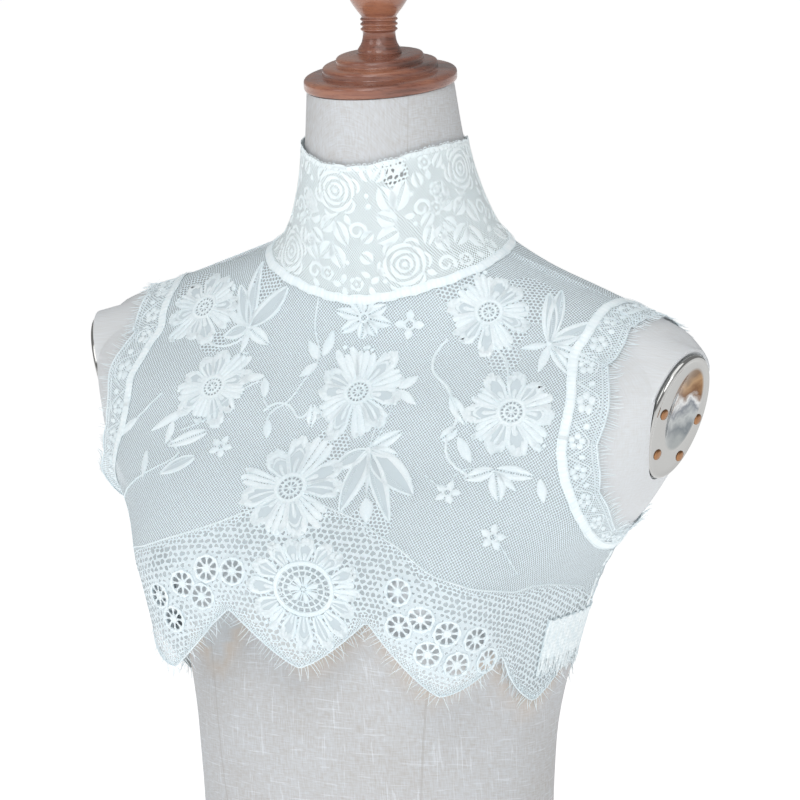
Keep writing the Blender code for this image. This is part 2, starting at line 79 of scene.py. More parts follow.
# %% Shader maths written as Python
class Wire:
    """A socket that can be reckoned with: an expression on it adds the Math nodes."""

    def __init__(self, finish, socket):
        self.finish, self.socket = finish, socket

    def maths(self, operation, *others):
        return self.finish.node("Math", {"operation": operation}, self, *others)

    def __add__(self, other): return self.maths("ADD", other)
    def __mul__(self, other): return self.maths("MULTIPLY", other)
    def __sub__(self, other): return self.maths("SUBTRACT", other)
    def __rsub__(self, other): return self.finish.node("Math", {"operation": "SUBTRACT"}, other, self)
    def __truediv__(self, other): return self.maths("DIVIDE", other)
    def __pow__(self, other): return self.maths("POWER", other)
    def __gt__(self, other): return self.maths("GREATER_THAN", other)
    def __lt__(self, other): return self.maths("LESS_THAN", other)
    def __abs__(self): return self.maths("ABSOLUTE")
    __radd__, __rmul__ = __add__, __mul__


class Finish:
    """A material with one Principled shader. Fixed values are set on its own sockets."""

    def __init__(self, name, **fixed):
        self.material = bpy.data.materials.new(name)
        self.material.use_nodes = True
        self.tree = self.material.node_tree
        self.shader = self.tree.nodes["Principled BSDF"]
        for socket, value in fixed.items():
            self.shader.inputs[socket.replace("_", " ")].default_value = value

    def put(self, socket, value):
        if isinstance(value, Wire):
            self.tree.links.new(value.socket, socket)
        elif value is not None:
            socket.default_value = value

    def node(self, kind, settings=None, *values, out=0, **named):
        made = self.tree.nodes.new("ShaderNode" + kind)
        for key, value in (settings or {}).items():
            if key == "stops":
                ramp = made.color_ramp
                while len(ramp.elements) < len(value):
                    ramp.elements.new(1)
                for stop, (place, colour) in zip(ramp.elements, value):
                    stop.position, stop.color = place, (*colour, 1)
            else:
                setattr(made, key, value)
        for i, value in enumerate(values):
            self.put(made.inputs[i], value)
        for key, value in named.items():
            self.put(made.inputs[key.replace("_", " ")], value)
        return Wire(self, made.outputs[out])

    def feed(self, socket, value):
        self.put(self.shader.inputs[socket], value)

    def noise(self, vector, scale, detail=2.0):
        return self.node("TexNoise", None, vector, Scale=scale, Detail=detail)

    def cloth(self):
        """The two coordinates of the flat pattern, in metres."""
        split = self.node("SeparateXYZ", None, self.node("UVMap", {"uv_map": "cloth"}))
        return split, Wire(self, split.socket.node.outputs[1])

    def weave(self, x, y, detail=2.0):
        """Noise on the flat pattern, given as its two coordinates times how fine it is along each."""
        return self.noise(self.node("CombineXYZ", None, x, y), 1.0, detail)

    def place(self):
        return self.node("TexCoord", None, out=3)

    def mark(self, label):
        return self.node("Attribute", {"attribute_name": label}, out=2)

    def span(self, value, *limits):
        return self.node("MapRange", None, value, *limits)

    def mix(self, share, one, other):
        made = self.tree.nodes.new("ShaderNodeMix")
        made.data_type = "RGBA"
        self.put(made.inputs["Factor"], share)
        for socket, colour in ((made.inputs[6], one), (made.inputs[7], other)):
            self.put(socket, colour if isinstance(colour, Wire) else (*colour, 1))
        return Wire(self, made.outputs[2])

    def bump(self, height, strength, distance):
        self.feed("Normal", self.node("Bump", None, Height=height, Strength=strength, Distance=distance))


# %% Floor and lamps
def plain_mesh(name, points, faces, edges=()):
    mesh = bpy.data.meshes.new(name)
    mesh.from_pydata([tuple(map(float, p)) for p in points], list(edges), faces)
    made = bpy.data.objects.new(name, mesh)
    bpy.context.scene.collection.objects.link(made)
    return made


floor = plain_mesh("floor", [(-30, -30, 0), (30, -30, 0), (30, 30, 0), (-30, 30, 0)], [(0, 1, 2, 3)])
pale = Finish("pale floor", Base_Color=(.93, .93, .93, 1), Roughness=1.0)
pale.shader.inputs["Emission Color"].default_value = (1, 1, 1, 1)
pale.shader.inputs["Emission Strength"].default_value = .70
floor.data.materials.append(pale.material)

world = bpy.data.worlds.new("studio")
world.use_nodes = True
world.node_tree.nodes["Background"].inputs["Color"].default_value = (1, 1, 1, 1)
world.node_tree.nodes["Background"].inputs["Strength"].default_value = .34
bpy.context.scene.world = world
bpy.context.scene.view_settings.view_transform = "Standard"

# name, place, size, power
LAMPS = [("key lamp", (-1.6, -2.6, 1.9), 1.5, 12), ("fill lamp", (2.2, -1.6, 1.2), 1.6, 5.5),
         ("top lamp", (.5, -.9, 2.6), 2.0, 15), ("near lamp", (.35, -.95, 1.15), .6, 3.5)]
for name, place, size, power in LAMPS:
    lamp = bpy.data.objects.new(name, bpy.data.lights.new(name, "AREA"))
    lamp.data.shape, lamp.data.size, lamp.data.energy = "DISK", size, power
    toward = np.array(place) - (0, 0, .45)
    toward /= np.linalg.norm(toward)
    sideways = np.cross((0, 0, 1), toward)
    sideways /= np.linalg.norm(sideways)
    lamp.matrix_world = placed(sideways, np.cross(toward, sideways), toward, place)
    lamp.visible_camera = False
    bpy.context.scene.collection.objects.link(lamp)
print("lamps:", len(LAMPS))

# %% [markdown]
# ## The form's surface
#
# A tailor's form is a stack of ovals: wide at the hip, narrow at the waist, wide and flat at the shoulders,
# small at the neck. Each row here is one oval, with its level, half width, depths, middle, squareness and
# tilt. A smooth curve through the rows gives any point of the linen.

# %% Sections
SECTIONS = np.array([
    (0.000, .1720, .118, .1160, .000, 2.2, 0.0),
    (0.060, .1690, .114, .1160, -.001, 2.2, 0.0),
    (0.130, .1430, .104, .0980, -.002, 2.2, 0.0),
    (0.205, .1130, .095, .0860, -.003, 2.2, 0.0),
    (0.270, .1155, .103, .0830, -.004, 2.2, 0.0),
    (0.330, .1260, .109, .0900, -.002, 2.2, 0.0),
    (0.385, .1420, .113, .0980, .000, 2.3, 0.0),
    (0.430, .1750, .109, .1030, .002, 2.5, 0.0),
    (0.465, .1930, .096, .1000, .006, 2.7, 0.5),
    (0.492, .2020, .086, .0940, .008, 2.6, 2.0),
    (0.512, .2100, .076, .0860, .012, 2.2, 3.5),
    (0.530, .2000, .068, .0770, .014, 1.8, 5.5),
    (0.550, .1540, .062, .0690, .013, 1.7, 7.5),
    (0.566, .1060, .060, .0650, .011, 1.8, 9.0),
    (0.582, .0755, .059, .0610, .008, 1.9, 10.0),
    (0.602, .0610, .058, .0605, .003, 2.0, 10.0),
    (0.640, .0490, .055, .0570, -.005, 2.0, 8.0),
    (0.681, .0437, .055, .0525, -.011, 2.0, 7.0)])
BUST = dict(level=.385, angle=36, spread=24, rise=.052, out=.036)
CAP_TILT = 7.0
SEAM_ANGLE = 96


def between(x, y, q):
    """Smooth curve through the table y(x) that never overshoots."""
    h, d = np.diff(x), np.diff(y) / np.diff(x)
    m = np.zeros_like(y)
    for i in range(1, len(x) - 1):
        if d[i - 1] * d[i] > 0:
            w1, w2 = 2 * h[i] + h[i - 1], h[i] + 2 * h[i - 1]
            m[i] = (w1 + w2) / (w1 / d[i - 1] + w2 / d[i])
    m[0], m[-1] = d[0], d[-1]
    i = np.clip(np.searchsorted(x, q) - 1, 0, len(x) - 2)
    t, h = (q - x[i]) / h[i], h[i]
    return ((1 + 2 * t) * (1 - t) ** 2 * y[i] + t * (1 - t) ** 2 * h * m[i]
            + t * t * (3 - 2 * t) * y[i + 1] + t * t * (t - 1) * h * m[i + 1])


def form_point(angle, level):
    """Point of the linen at an angle (0 in front, + towards +X) and a level."""
    angle, level = np.broadcast_arrays(np.asarray(angle, float), np.asarray(level, float))
    half, front, rear, mid, square, tilt = (between(SECTIONS[:, 0], SECTIONS[:, k], level)
                                            for k in range(1, 7))
    depth = np.where(np.cos(angle) > 0, front, rear)
    r = (np.abs(np.sin(angle) / half) ** square + np.abs(np.cos(angle) / depth) ** square) ** (-1 / square)
    for side in (-1, 1):
        r = r + BUST["out"] * np.exp(-((np.degrees(angle) - side * BUST["angle"]) / BUST["spread"]) ** 2
                                     - ((level - BUST["level"]) / BUST["rise"]) ** 2)
    return np.stack([r * np.sin(angle), mid - r * np.cos(angle),
                     level - np.tan(np.radians(tilt)) * r * np.cos(angle)], -1)


print("sections:", len(SECTIONS))

# %% [markdown]
# ## The draped surface
#
# Cloth doesn't follow every hollow. A tape measure pulled round the form bridges them, and below the bust
# the lace hangs nearly straight down. The surface is kept as a table of radii, and every piece of lace is
# drawn on it as (angle in degrees, height), so nothing floats and nothing sinks into the linen.

# %% Radii of the draped surface
STEP_Z, STEP_A = .002, radians(3)
HEIGHTS = np.arange(.20, .70, STEP_Z)
ANGLES = np.arange(-pi, pi + 1e-9, STEP_A)


def tape_line():
    """Radii of a tape measure pulled round the form: at each height, its outline without the hollows."""
    columns = np.arange(-pi, pi, radians(1.5))
    points = form_point(columns[:, None], np.arange(.15, .681, .001)[None])
    xs = np.array([np.interp(HEIGHTS, p[:, 2], p[:, 0]) for p in points])
    ys = np.array([np.interp(HEIGHTS, p[:, 2], p[:, 1]) for p in points])
    reach = np.sin(columns)[:, None, None] * xs[None] - np.cos(columns)[:, None, None] * ys[None]
    support = reach.max(1)
    lean = np.cos(ANGLES[:, None] - columns[None])
    return np.array([np.where(lean > .02, support[:, j][None] / np.maximum(lean, .02), 9).min(1)
                     for j in range(len(HEIGHTS))]).T


def drape(line):
    """Lets the tape line hang: it falls steeply in front, softens, and stands off in three places."""
    out = line.copy()
    for i, a in enumerate(ANGLES):
        c = cos(a)
        fall = .12 + .50 * (1 - c) ** 1.2 if c > 0 else .62 - .25 * abs(c)
        free = .47 if abs(c) > .6 else .40
        for j in range(len(HEIGHTS) - 2, -1, -1):
            if HEIGHTS[j] < free:
                out[i, j] = max(out[i, j], out[i, j + 1] - fall * STEP_Z)
    for _ in range(3):
        out[:, 1:-1] = .25 * out[:, :-2] + .5 * out[:, 1:-1] + .25 * out[:, 2:]
        ring = .25 * np.roll(out[:-1], 1, 0) + .5 * out[:-1] + .25 * np.roll(out[:-1], -1, 0)
        out = np.concatenate([ring, ring[:1]])
    across_, height = np.abs(np.degrees(ANGLES))[:, None], HEIGHTS[None]
    ease = .0012 * np.exp(-((across_ - 57) / 16) ** 2 - ((height - .428) / .032) ** 2)
    ease += .0006 * np.exp(-((across_ - 40) / 18) ** 2 - ((height - .385) / .035) ** 2)
    ease += .0006 * np.exp(-((across_ - 104) / 16) ** 2 - ((height - .371) / .022) ** 2)
    return np.maximum(out, line) + ease


DRAPE = drape(tape_line())


def radius(angle, height):
    u = ((angle + pi) % tau) / STEP_A
    v = np.clip((height - HEIGHTS[0]) / STEP_Z, 0, len(HEIGHTS) - 1.001)
    i, j = np.minimum(np.floor(u).astype(int), len(ANGLES) - 2), np.floor(v).astype(int)
    u, v = u - i, v - j
    return ((DRAPE[i, j] * (1 - u) + DRAPE[i + 1, j] * u) * (1 - v)
            + (DRAPE[i, j + 1] * (1 - u) + DRAPE[i + 1, j + 1] * u) * v)


def on_drape(angle, height):
    r = radius(angle, height)
    return np.stack([r * np.sin(angle), -r * np.cos(angle), height], -1)


def normal(angle, height, a=radians(3), h=.004):
    n = np.cross(on_drape(angle + a, height) - on_drape(angle - a, height),
                 on_drape(angle, height + h) - on_drape(angle, height - h))
    return n / np.linalg.norm(n, axis=-1, keepdims=True)


def lay(points, lift):
    """Points given as (angle in degrees, height), laid on the surface and lifted off it."""
    points = np.asarray(points, float)
    a, h = np.radians(points[:, 0]), points[:, 1]
    return on_drape(a, h) + normal(a, h) * np.asarray(lift, float).reshape(-1, 1)


def settle(p):
    """(angle, height) of the surface point nearest to each point in space."""
    a, h = np.arctan2(p[:, 0], -p[:, 1]), p[:, 2].copy()
    for _ in range(6):
        q = p - on_drape(a, h)
        da = (on_drape(a + .02, h) - on_drape(a - .02, h)) / .04
        dh = (on_drape(a, h + .002) - on_drape(a, h - .002)) / .004
        A, B, C = (da * da).sum(1), (da * dh).sum(1), (dh * dh).sum(1)
        d, e = (q * da).sum(1), (q * dh).sum(1)
        det = A * C - B * B
        a = a + np.clip((C * d - B * e) / det, -.15, .15)
        h = h + np.clip((A * e - B * d) / det, -.01, .01)
    return np.stack([np.degrees(a), h], -1)


print("widest radius of the lace:", round(float(DRAPE.max()), 4))

# %% [markdown]
# ## Outlines
#
# The neck seam dips in front, the armholes are ovals round the side seam, and the hem hangs in scallops that
# repeat every 92 mm along it. A seam, tape or hem is a curve of (angle, height) points.

# %% Outlines
HEM_REPEAT, HEM_START = .092, .006
NET_LIFT, NET_THICK = .0009, .00012
WORK = NET_LIFT + NET_THICK                       # where the raised work begins
TAPE_LIFT = .0014
ARMHOLE_WIDE, ARMHOLE_MIDDLE, ARMHOLE_HIGH = 30.0, .4755, .0755


def neck_line(angle):
    c = np.cos(np.radians(angle))
    return .578 - .0275 * np.maximum(c, 0) - .018 * np.minimum(c, 0)


def collar_top(angle):
    return .647 - .0125 * np.maximum(0, np.cos(np.radians(angle))) ** 4


def armhole(t):
    """Armhole of the form's left, t round it: the front at 0, the top at pi/2."""
    t = np.asarray(t, float)
    return np.stack([SEAM_ANGLE - (ARMHOLE_WIDE - 8.5 * np.sin(t)) * np.cos(t),
                     ARMHOLE_MIDDLE + ARMHOLE_HIGH * np.sin(t)], -1)


HEM_ANGLES = np.radians(np.arange(-180, 181, 1.0))
hem_level = on_drape(HEM_ANGLES, np.full_like(HEM_ANGLES, .345))
HEM_RUN = np.concatenate([[0], np.cumsum(np.linalg.norm(np.diff(hem_level, axis=0), axis=1))])
HEM_RUN -= np.interp(0, HEM_ANGLES, HEM_RUN)


def hem_base(run):
    return .366 - .255 * np.clip(np.abs(run) - .052, 0, .105)


def hem(run):
    run = np.asarray(run, float)
    off = (run - HEM_START + HEM_REPEAT / 2) % HEM_REPEAT - HEM_REPEAT / 2
    scallop = .033 * (1 - np.abs(off / (HEM_REPEAT / 2)) ** 1.35)
    return np.stack([np.degrees(np.interp(run, HEM_RUN, HEM_ANGLES)), hem_base(run) - scallop], -1)


def run_at(angle):
    return np.interp(np.radians(angle), HEM_ANGLES, HEM_RUN)


def angle_at(run):
    return np.degrees(np.interp(run, HEM_RUN, HEM_ANGLES))


def mirrored(points):
    return np.stack([-points[:, 0], points[:, 1]], -1)


def on_surface(flat, closed=False, lift=0.0):
    """Points of a curve on the surface, with the directions out of it and to its right seen from outside."""
    flat = np.asarray(flat, float)
    base, n = lay(flat, lift), normal(np.radians(flat[:, 0]), flat[:, 1])
    t = np.roll(base, -1, 0) - np.roll(base, 1, 0) if closed else np.gradient(base, axis=0)
    s = np.cross(t, n)
    return base, n, s / np.maximum(np.linalg.norm(s, axis=1, keepdims=True), 1e-9)


def aside(curve, distance, closed=True):
    """A curve moved sideways on the surface, + to its right."""
    base, _, s = on_surface(curve, closed)
    moved = settle(base + s * np.asarray(distance, float).reshape(-1, 1))
    moved[:, 0] = curve[:, 0] + (moved[:, 0] - curve[:, 0] + 180) % 360 - 180
    return moved


print("hem, once round:", round(float(HEM_RUN[-1] - HEM_RUN[0]), 3), "m")


# %% Helpers that finish a piece
def closed_mesh(name, points, faces):
    """A mesh with its normals outwards."""
    made = plain_mesh(name, points, faces)
    body = bmesh.new()
    body.from_mesh(made.data)
    bmesh.ops.recalc_face_normals(body, faces=body.faces)
    body.to_mesh(made.data)
    body.free()
    return made


def dress(made, finish, slot):
    made.data.materials.clear()
    made.data.materials.append(finish.material)
    made.data.polygons.foreach_set("use_smooth", [True] * len(made.data.polygons))
    made.data.set_sharp_from_angle(angle=radians(48))
    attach(made, "root")
    return made


def put(name, points, faces, finish, slot, uv=None):
    """A closed piece riding on the one body, with its flat pattern where it is cloth."""
    made = closed_mesh(name, points, faces)
    if uv is not None:
        corner = np.empty(len(made.data.loops), int)
        made.data.loops.foreach_get("vertex_index", corner)
        layer = made.data.uv_layers.new(name="cloth")
        layer.data.foreach_set("uv", np.asarray(uv, float)[corner].ravel())
    return dress(made, finish, slot)


def mark(mesh, label, values):
    """Keeps a number or a direction on every point of a mesh, under a name."""
    values = np.asarray(values, float)
    kind, field = ("FLOAT", "value") if values.ndim == 1 else ("FLOAT_VECTOR", "vector")
    mesh.attributes.new(label, kind, "POINT").data.foreach_set(field, values.ravel())


def grid_faces(rows, count, ring=True, loop=False):
    """Faces between rows of points. A ring joins each row's ends; a loop joins the last row to the first."""
    return [(r * count + i, r * count + (i + 1) % count,
             (r + 1) % rows * count + (i + 1) % count, (r + 1) % rows * count + i)
            for r in range(rows if loop else rows - 1) for i in range(count if ring else count - 1)]


def caps(rows, count):
    return [tuple(range(count))[::-1], tuple(range((rows - 1) * count, rows * count))]


def rings_to_mesh(rings, loop=False):
    """A tube through the rings: closed by two caps, or joined into a loop."""
    rows, count = len(rings), len(rings[0])
    faces = grid_faces(rows, count, loop=loop) + ([] if loop else caps(rows, count))
    return [p for ring in rings for p in ring], faces


def rounded(profile, passes=2):
    """Cuts the corners of a profile again and again, which rounds them as a lathe or a polish does."""
    profile = np.asarray(profile, float)
    for _ in range(passes):
        a, b = profile[:-1], profile[1:]
        cut = np.stack([.75 * a + .25 * b, .25 * a + .75 * b], 1).reshape(-1, profile.shape[1])
        profile = np.concatenate([profile[:1], cut, profile[-1:]])
    return profile


# %% [markdown]
# ## The linen form
#
# The cover is a coarse, slubby, undyed linen pulled tight over padding. The body is lofted from many fine
# rings, with the two arm stumps joined on and a shallow seat cut for each plate, the same three operations as
# in the solid but on a smooth mesh. The weave is shader noise stretched along the two thread directions, with
# a few long pale slubs and two princess seams. Light and shade are painted into it as well: the linen is
# painted paler under the lace, to lift the shadow the lace casts, and a brown shade is painted just below the hem.

# %% Linen
PRINCESS_SEAM, TORSO_TOP = 38, .40                # degrees round from the front; metres of cloth up the form
linen = Finish("linen", Roughness=.92)
u, v = linen.cloth()
threads = linen.weave(u * 1150, v * 150, 3) * .5 + linen.weave(u * 160, v * 1150, 3) * .5
faded = linen.span(threads * .8 + linen.weave(u * 14, v * 14) * .2, .35, .65)
bare = linen.mix(faded, (.46, .445, .43), (.59, .62, .655))
slubs = (linen.weave(u * 620, v * 34) > .645) + (linen.weave(u * 34, v * 620) > .645)
bare = linen.mix(slubs * (v < TORSO_TOP) * .36, bare, (.74, .775, .82))
where = linen.node("SeparateXYZ", None, linen.place())
turn = where.maths("ARCTAN2", Wire(linen, where.socket.node.outputs[1]) * -1)
seam = abs(abs(turn) - radians(PRINCESS_SEAM)) < radians(.35)
bare = linen.mix(seam * .45, bare, (.40, .385, .37))
# painted shade: a brown tint just below the hem, where the lace's shadow falls
bare = linen.mix(linen.mark("browned") * .55, bare, (.60, .49, .39))
# painted light: the linen is painted paler under the lace, which lifts the shadow the lace casts on it
linen.feed("Base Color", linen.mix(linen.mark("covered"), bare, (.77, .80, .82)))     # paler under the lace
linen.bump(threads - seam * 1.5, .35, .0006)

# %% Form cover
STUMP_LOW, STUMP_SPREAD = .40, radians(36)        # where the linen's threads run across the arm stumps
PLATE_MIDDLE, PLATE_HALF = (.1948, .002, .4850), (.0408, .0294)
PLATE_LEAN, PLATE_TURN = 17.2, 10.5               # degrees: how far a plate looks down and forward


def turns_of(count):
    """Even steps once round."""
    return np.arange(count) * tau / count


def seat_frame(side):
    """The middle of a plate's seat, and its long, cross and outward directions."""
    lean, turn = radians(PLATE_LEAN), radians(PLATE_TURN)
    return (np.array([side * PLATE_MIDDLE[0], PLATE_MIDDLE[1], PLATE_MIDDLE[2]]),
            np.array([side * sin(lean) * cos(turn), -sin(lean) * sin(turn), cos(lean)]),
            np.array([side * sin(turn), cos(turn), 0]),
            np.array([side * cos(lean) * cos(turn), -cos(lean) * sin(turn), -sin(lean)]))


def oval(side, a, b, out, count, rise=0.0, aft=0.0):
    c, slant, depth, outward = seat_frame(side)
    return [c + outward * out + slant * (a * cos(t) + rise) + depth * (b * sin(t) * side + aft)
            for t in turns_of(count)]


def settled(made):
    """The mesh as its modifiers leave it, with the modifiers gone."""
    result = bpy.data.meshes.new_from_object(made.evaluated_get(bpy.context.evaluated_depsgraph_get()))
    made.modifiers.clear()
    made.data = result
    return made


turns = turns_of(96)
levels = np.concatenate([np.linspace(0, .33, 34)[:-1], np.linspace(.33, .62, 88)[:-1],
                         np.linspace(.62, .681, 14)])
form = closed_mesh("form_cover", *rings_to_mesh([form_point(turns, np.full_like(turns, z)) for z in levels]))
helpers = []
for side in (1, -1):
    for operation, grow, low, high in (("UNION", .0030, -.030, .0004), ("DIFFERENCE", .0012, -.0003, .030)):
        rings = [oval(side, PLATE_HALF[0] + grow, PLATE_HALF[1] + grow, out, 72) for out in (low, high)]
        helpers.append(closed_mesh(f"{operation}_{side}", *rings_to_mesh(rings)))
        m = form.modifiers.new(operation, "BOOLEAN")
        m.operation, m.object, m.solver = operation, helpers[-1], "EXACT"
settled(form)
for helper in helpers:
    bpy.data.objects.remove(helper, do_unlink=True)


def points_of(mesh):
    points = np.empty(len(mesh.vertices) * 3)
    mesh.vertices.foreach_get("co", points)
    return points.reshape(-1, 3)


def wrap_uv(mesh):
    """Round the form, joined at the centre back, and up it, in metres; across and up on the arm stumps."""
    points = points_of(mesh)
    turn = np.arctan2(points[:, 0], -points[:, 1])
    around_, up_ = np.radians(np.arange(-180, 181, 3)), np.linspace(0, SECTIONS[-1][0], 138)
    grid = form_point(around_[:, None], up_[None])
    round_run = np.pad(np.linalg.norm(np.diff(grid, axis=0), axis=2).cumsum(0), ((1, 0), (0, 0)))
    round_run -= round_run[len(around_) // 2]
    up_run = np.pad(np.linalg.norm(np.diff(grid, axis=1), axis=2).cumsum(1), ((0, 0), (1, 0)))
    i = np.clip(np.searchsorted(around_, turn) - 1, 0, len(around_) - 2)
    j = np.clip(np.searchsorted(up_, points[:, 2]) - 1, 0, len(up_) - 2)
    f = (turn - around_[i]) / (around_[i + 1] - around_[i])
    g = (points[:, 2] - up_[j]) / (up_[j + 1] - up_[j])
    u, v = ((q[i, j] * (1 - f) + q[i + 1, j] * f) * (1 - g)
             + (q[i, j + 1] * (1 - f) + q[i + 1, j + 1] * f) * g
            for q in (round_run, up_run))
    side = np.searchsorted(around_, pi / 2)
    side_round, side_up = (np.interp(points[:, 2], up_, q[side]) for q in (round_run, up_run))
    layer = mesh.uv_layers.new(name="cloth")
    for face in mesh.polygons:
        own = list(face.vertices)
        across_uv = u[own]
        if np.ptp(turn[own]) > pi:
            across_uv = np.where(turn[own] < 0, across_uv + 2 * round_run[-1, j[own]], across_uv)
        up_uv = v[own]
        if points[own, 2].mean() > STUMP_LOW and np.abs(np.abs(turn[own]).mean() - pi / 2) < STUMP_SPREAD:
            across_uv, up_uv = np.abs(u[own]) - side_round[own], side_up[own]
        for k, corner in enumerate(face.loop_indices):
            layer.data[corner].uv = float(across_uv[k]), float(up_uv[k])


def mark_painted_light_and_shade(mesh):
    """Painted light: 1 under the lace, fading towards its edges, and half on the stumps, where the linen is
    painted paler to lift the lace's shadow. Painted shade: a brown band below the hem.
    """
    points = points_of(mesh)
    angle, height = np.degrees(np.arctan2(points[:, 0], -points[:, 1])), points[:, 2]
    above_hem = height - hem(run_at(angle))[:, 1]
    a, b = (np.abs(angle) - SEAM_ANGLE) / ARMHOLE_WIDE, (height - ARMHOLE_MIDDLE) / ARMHOLE_HIGH
    inside = np.minimum(np.minimum(neck_line(angle) - height, above_hem / 3),
                        np.maximum((np.hypot(a, b) - 1) * .06, .0075))
    mark(mesh, "covered", np.clip(inside / .015, 0, 1))
    mark(mesh, "browned", np.clip(np.where(above_hem < .004, 1 + above_hem / .016, 0), 0, 1))


wrap_uv(form.data)
mark_painted_light_and_shade(form.data)
dress(form, linen, "linen")
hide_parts("form_body")
print("form cover:", len(form.data.polygons), "faces")

# %% [markdown]
# ## Neck cap and knob
#
# One turned piece of red-brown stained wood: three oval steps, a waisted column with bead rings, and a knob.
# It is drawn as a profile whose corners are then rounded, as sanding does. The grain is long stretched noise.

# %% Wood
wood = Finish("turned wood", Coat_Roughness=.12)
grain, pores = (
    wood.noise(wood.node("Mapping", {"vector_type": "POINT"}, wood.place(), None, None, stretch), *how)
    for stretch, how in (((9, 9, 70), (1.6, 5)), ((60, 60, 500), (2.0, 3))))
wood.feed("Base Color", wood.node("ValToRGB", {"stops": [
    (.30, (.080, .034, .025)), (.46, (.225, .086, .055)), (.60, (.350, .145, .082)),
    (.72, (.182, .070, .045))]},
    grain * .8 + pores * .2))
wood.feed("Roughness", wood.span(pores, .3, .7, .22, .42))
wood.feed("Coat Weight", wood.span(grain, .3, .7, .35, .6))
wood.bump(pores, .12, .0004)

# %% Turned cap
# half width, half length, level
STEPS = [(.0440, .0550, .0003), (.0455, .0565, .0010), (.0456, .0566, .0040), (.0455, .0565, .0066),
         (.0435, .0545, .0082), (.0380, .0460, .0087), (.0350, .0430, .0088), (.0345, .0425, .0096),
         (.0345, .0425, .0126), (.0330, .0410, .0142), (.0290, .0350, .0147), (.0266, .0325, .0148),
         (.0262, .0320, .0156), (.0262, .0320, .0182), (.0245, .0300, .0196), (.0170, .0190, .0199)]
# radius, level
COLUMN = [(.0138, .0004), (.0139, .0012), (.0136, .0030), (.0122, .0050), (.0110, .0072), (.0103, .0105),
          (.0101, .0132), (.0104, .0143), (.0115, .0150), (.0116, .0158), (.0104, .0166), (.0103, .0172),
          (.0116, .0180), (.0117, .0190), (.0105, .0198), (.0104, .0204), (.0117, .0212), (.0117, .0220),
          (.0106, .0230), (.0118, .0248), (.0140, .0275), (.0170, .0318), (.0190, .0358), (.0208, .0415),
          (.0215, .0470), (.0214, .0530), (.0200, .0592), (.0172, .0650), (.0130, .0702), (.0085, .0738),
          (.0045, .0757), (.0010, .0762)]


def tilted_oval(base, tilt, wide, long, rise):
    lean = radians(tilt)
    up, ahead = np.array([0, -sin(lean), cos(lean)]), np.array([0, -cos(lean), -sin(lean)])
    t = turns_of(96)
    return base + up * rise + np.outer(np.sin(t), (wide, 0, 0)) + np.outer(np.cos(t), ahead * long)


cap_base = np.array([0, SECTIONS[-1][4], SECTIONS[-1][0]])
column_base = cap_base + np.array([0, -sin(radians(CAP_TILT)), cos(radians(CAP_TILT))]) * .0196
rows = [tilted_oval(cap_base, CAP_TILT, *q) for q in rounded(STEPS)]
rows += [tilted_oval(column_base, CAP_TILT / 2, r, r, z) for r, z in rounded(COLUMN, 1)]
cap = put("neck_cap_turned", *rings_to_mesh(rows), wood, "wood")
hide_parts("neck_cap")
print("turned cap:", len(rows), "rings")

# %% [markdown]
# ## Things that repeat
#
# Screws, ring flowers, stitches, picots and eyelashes are one small shape each, repeated. A Geometry Nodes
# tree does it: it reads two directions from each spot and puts a copy there. The same tree can first step
# evenly along an edge; then it also turns and scales each copy a little at random, from a fixed seed.


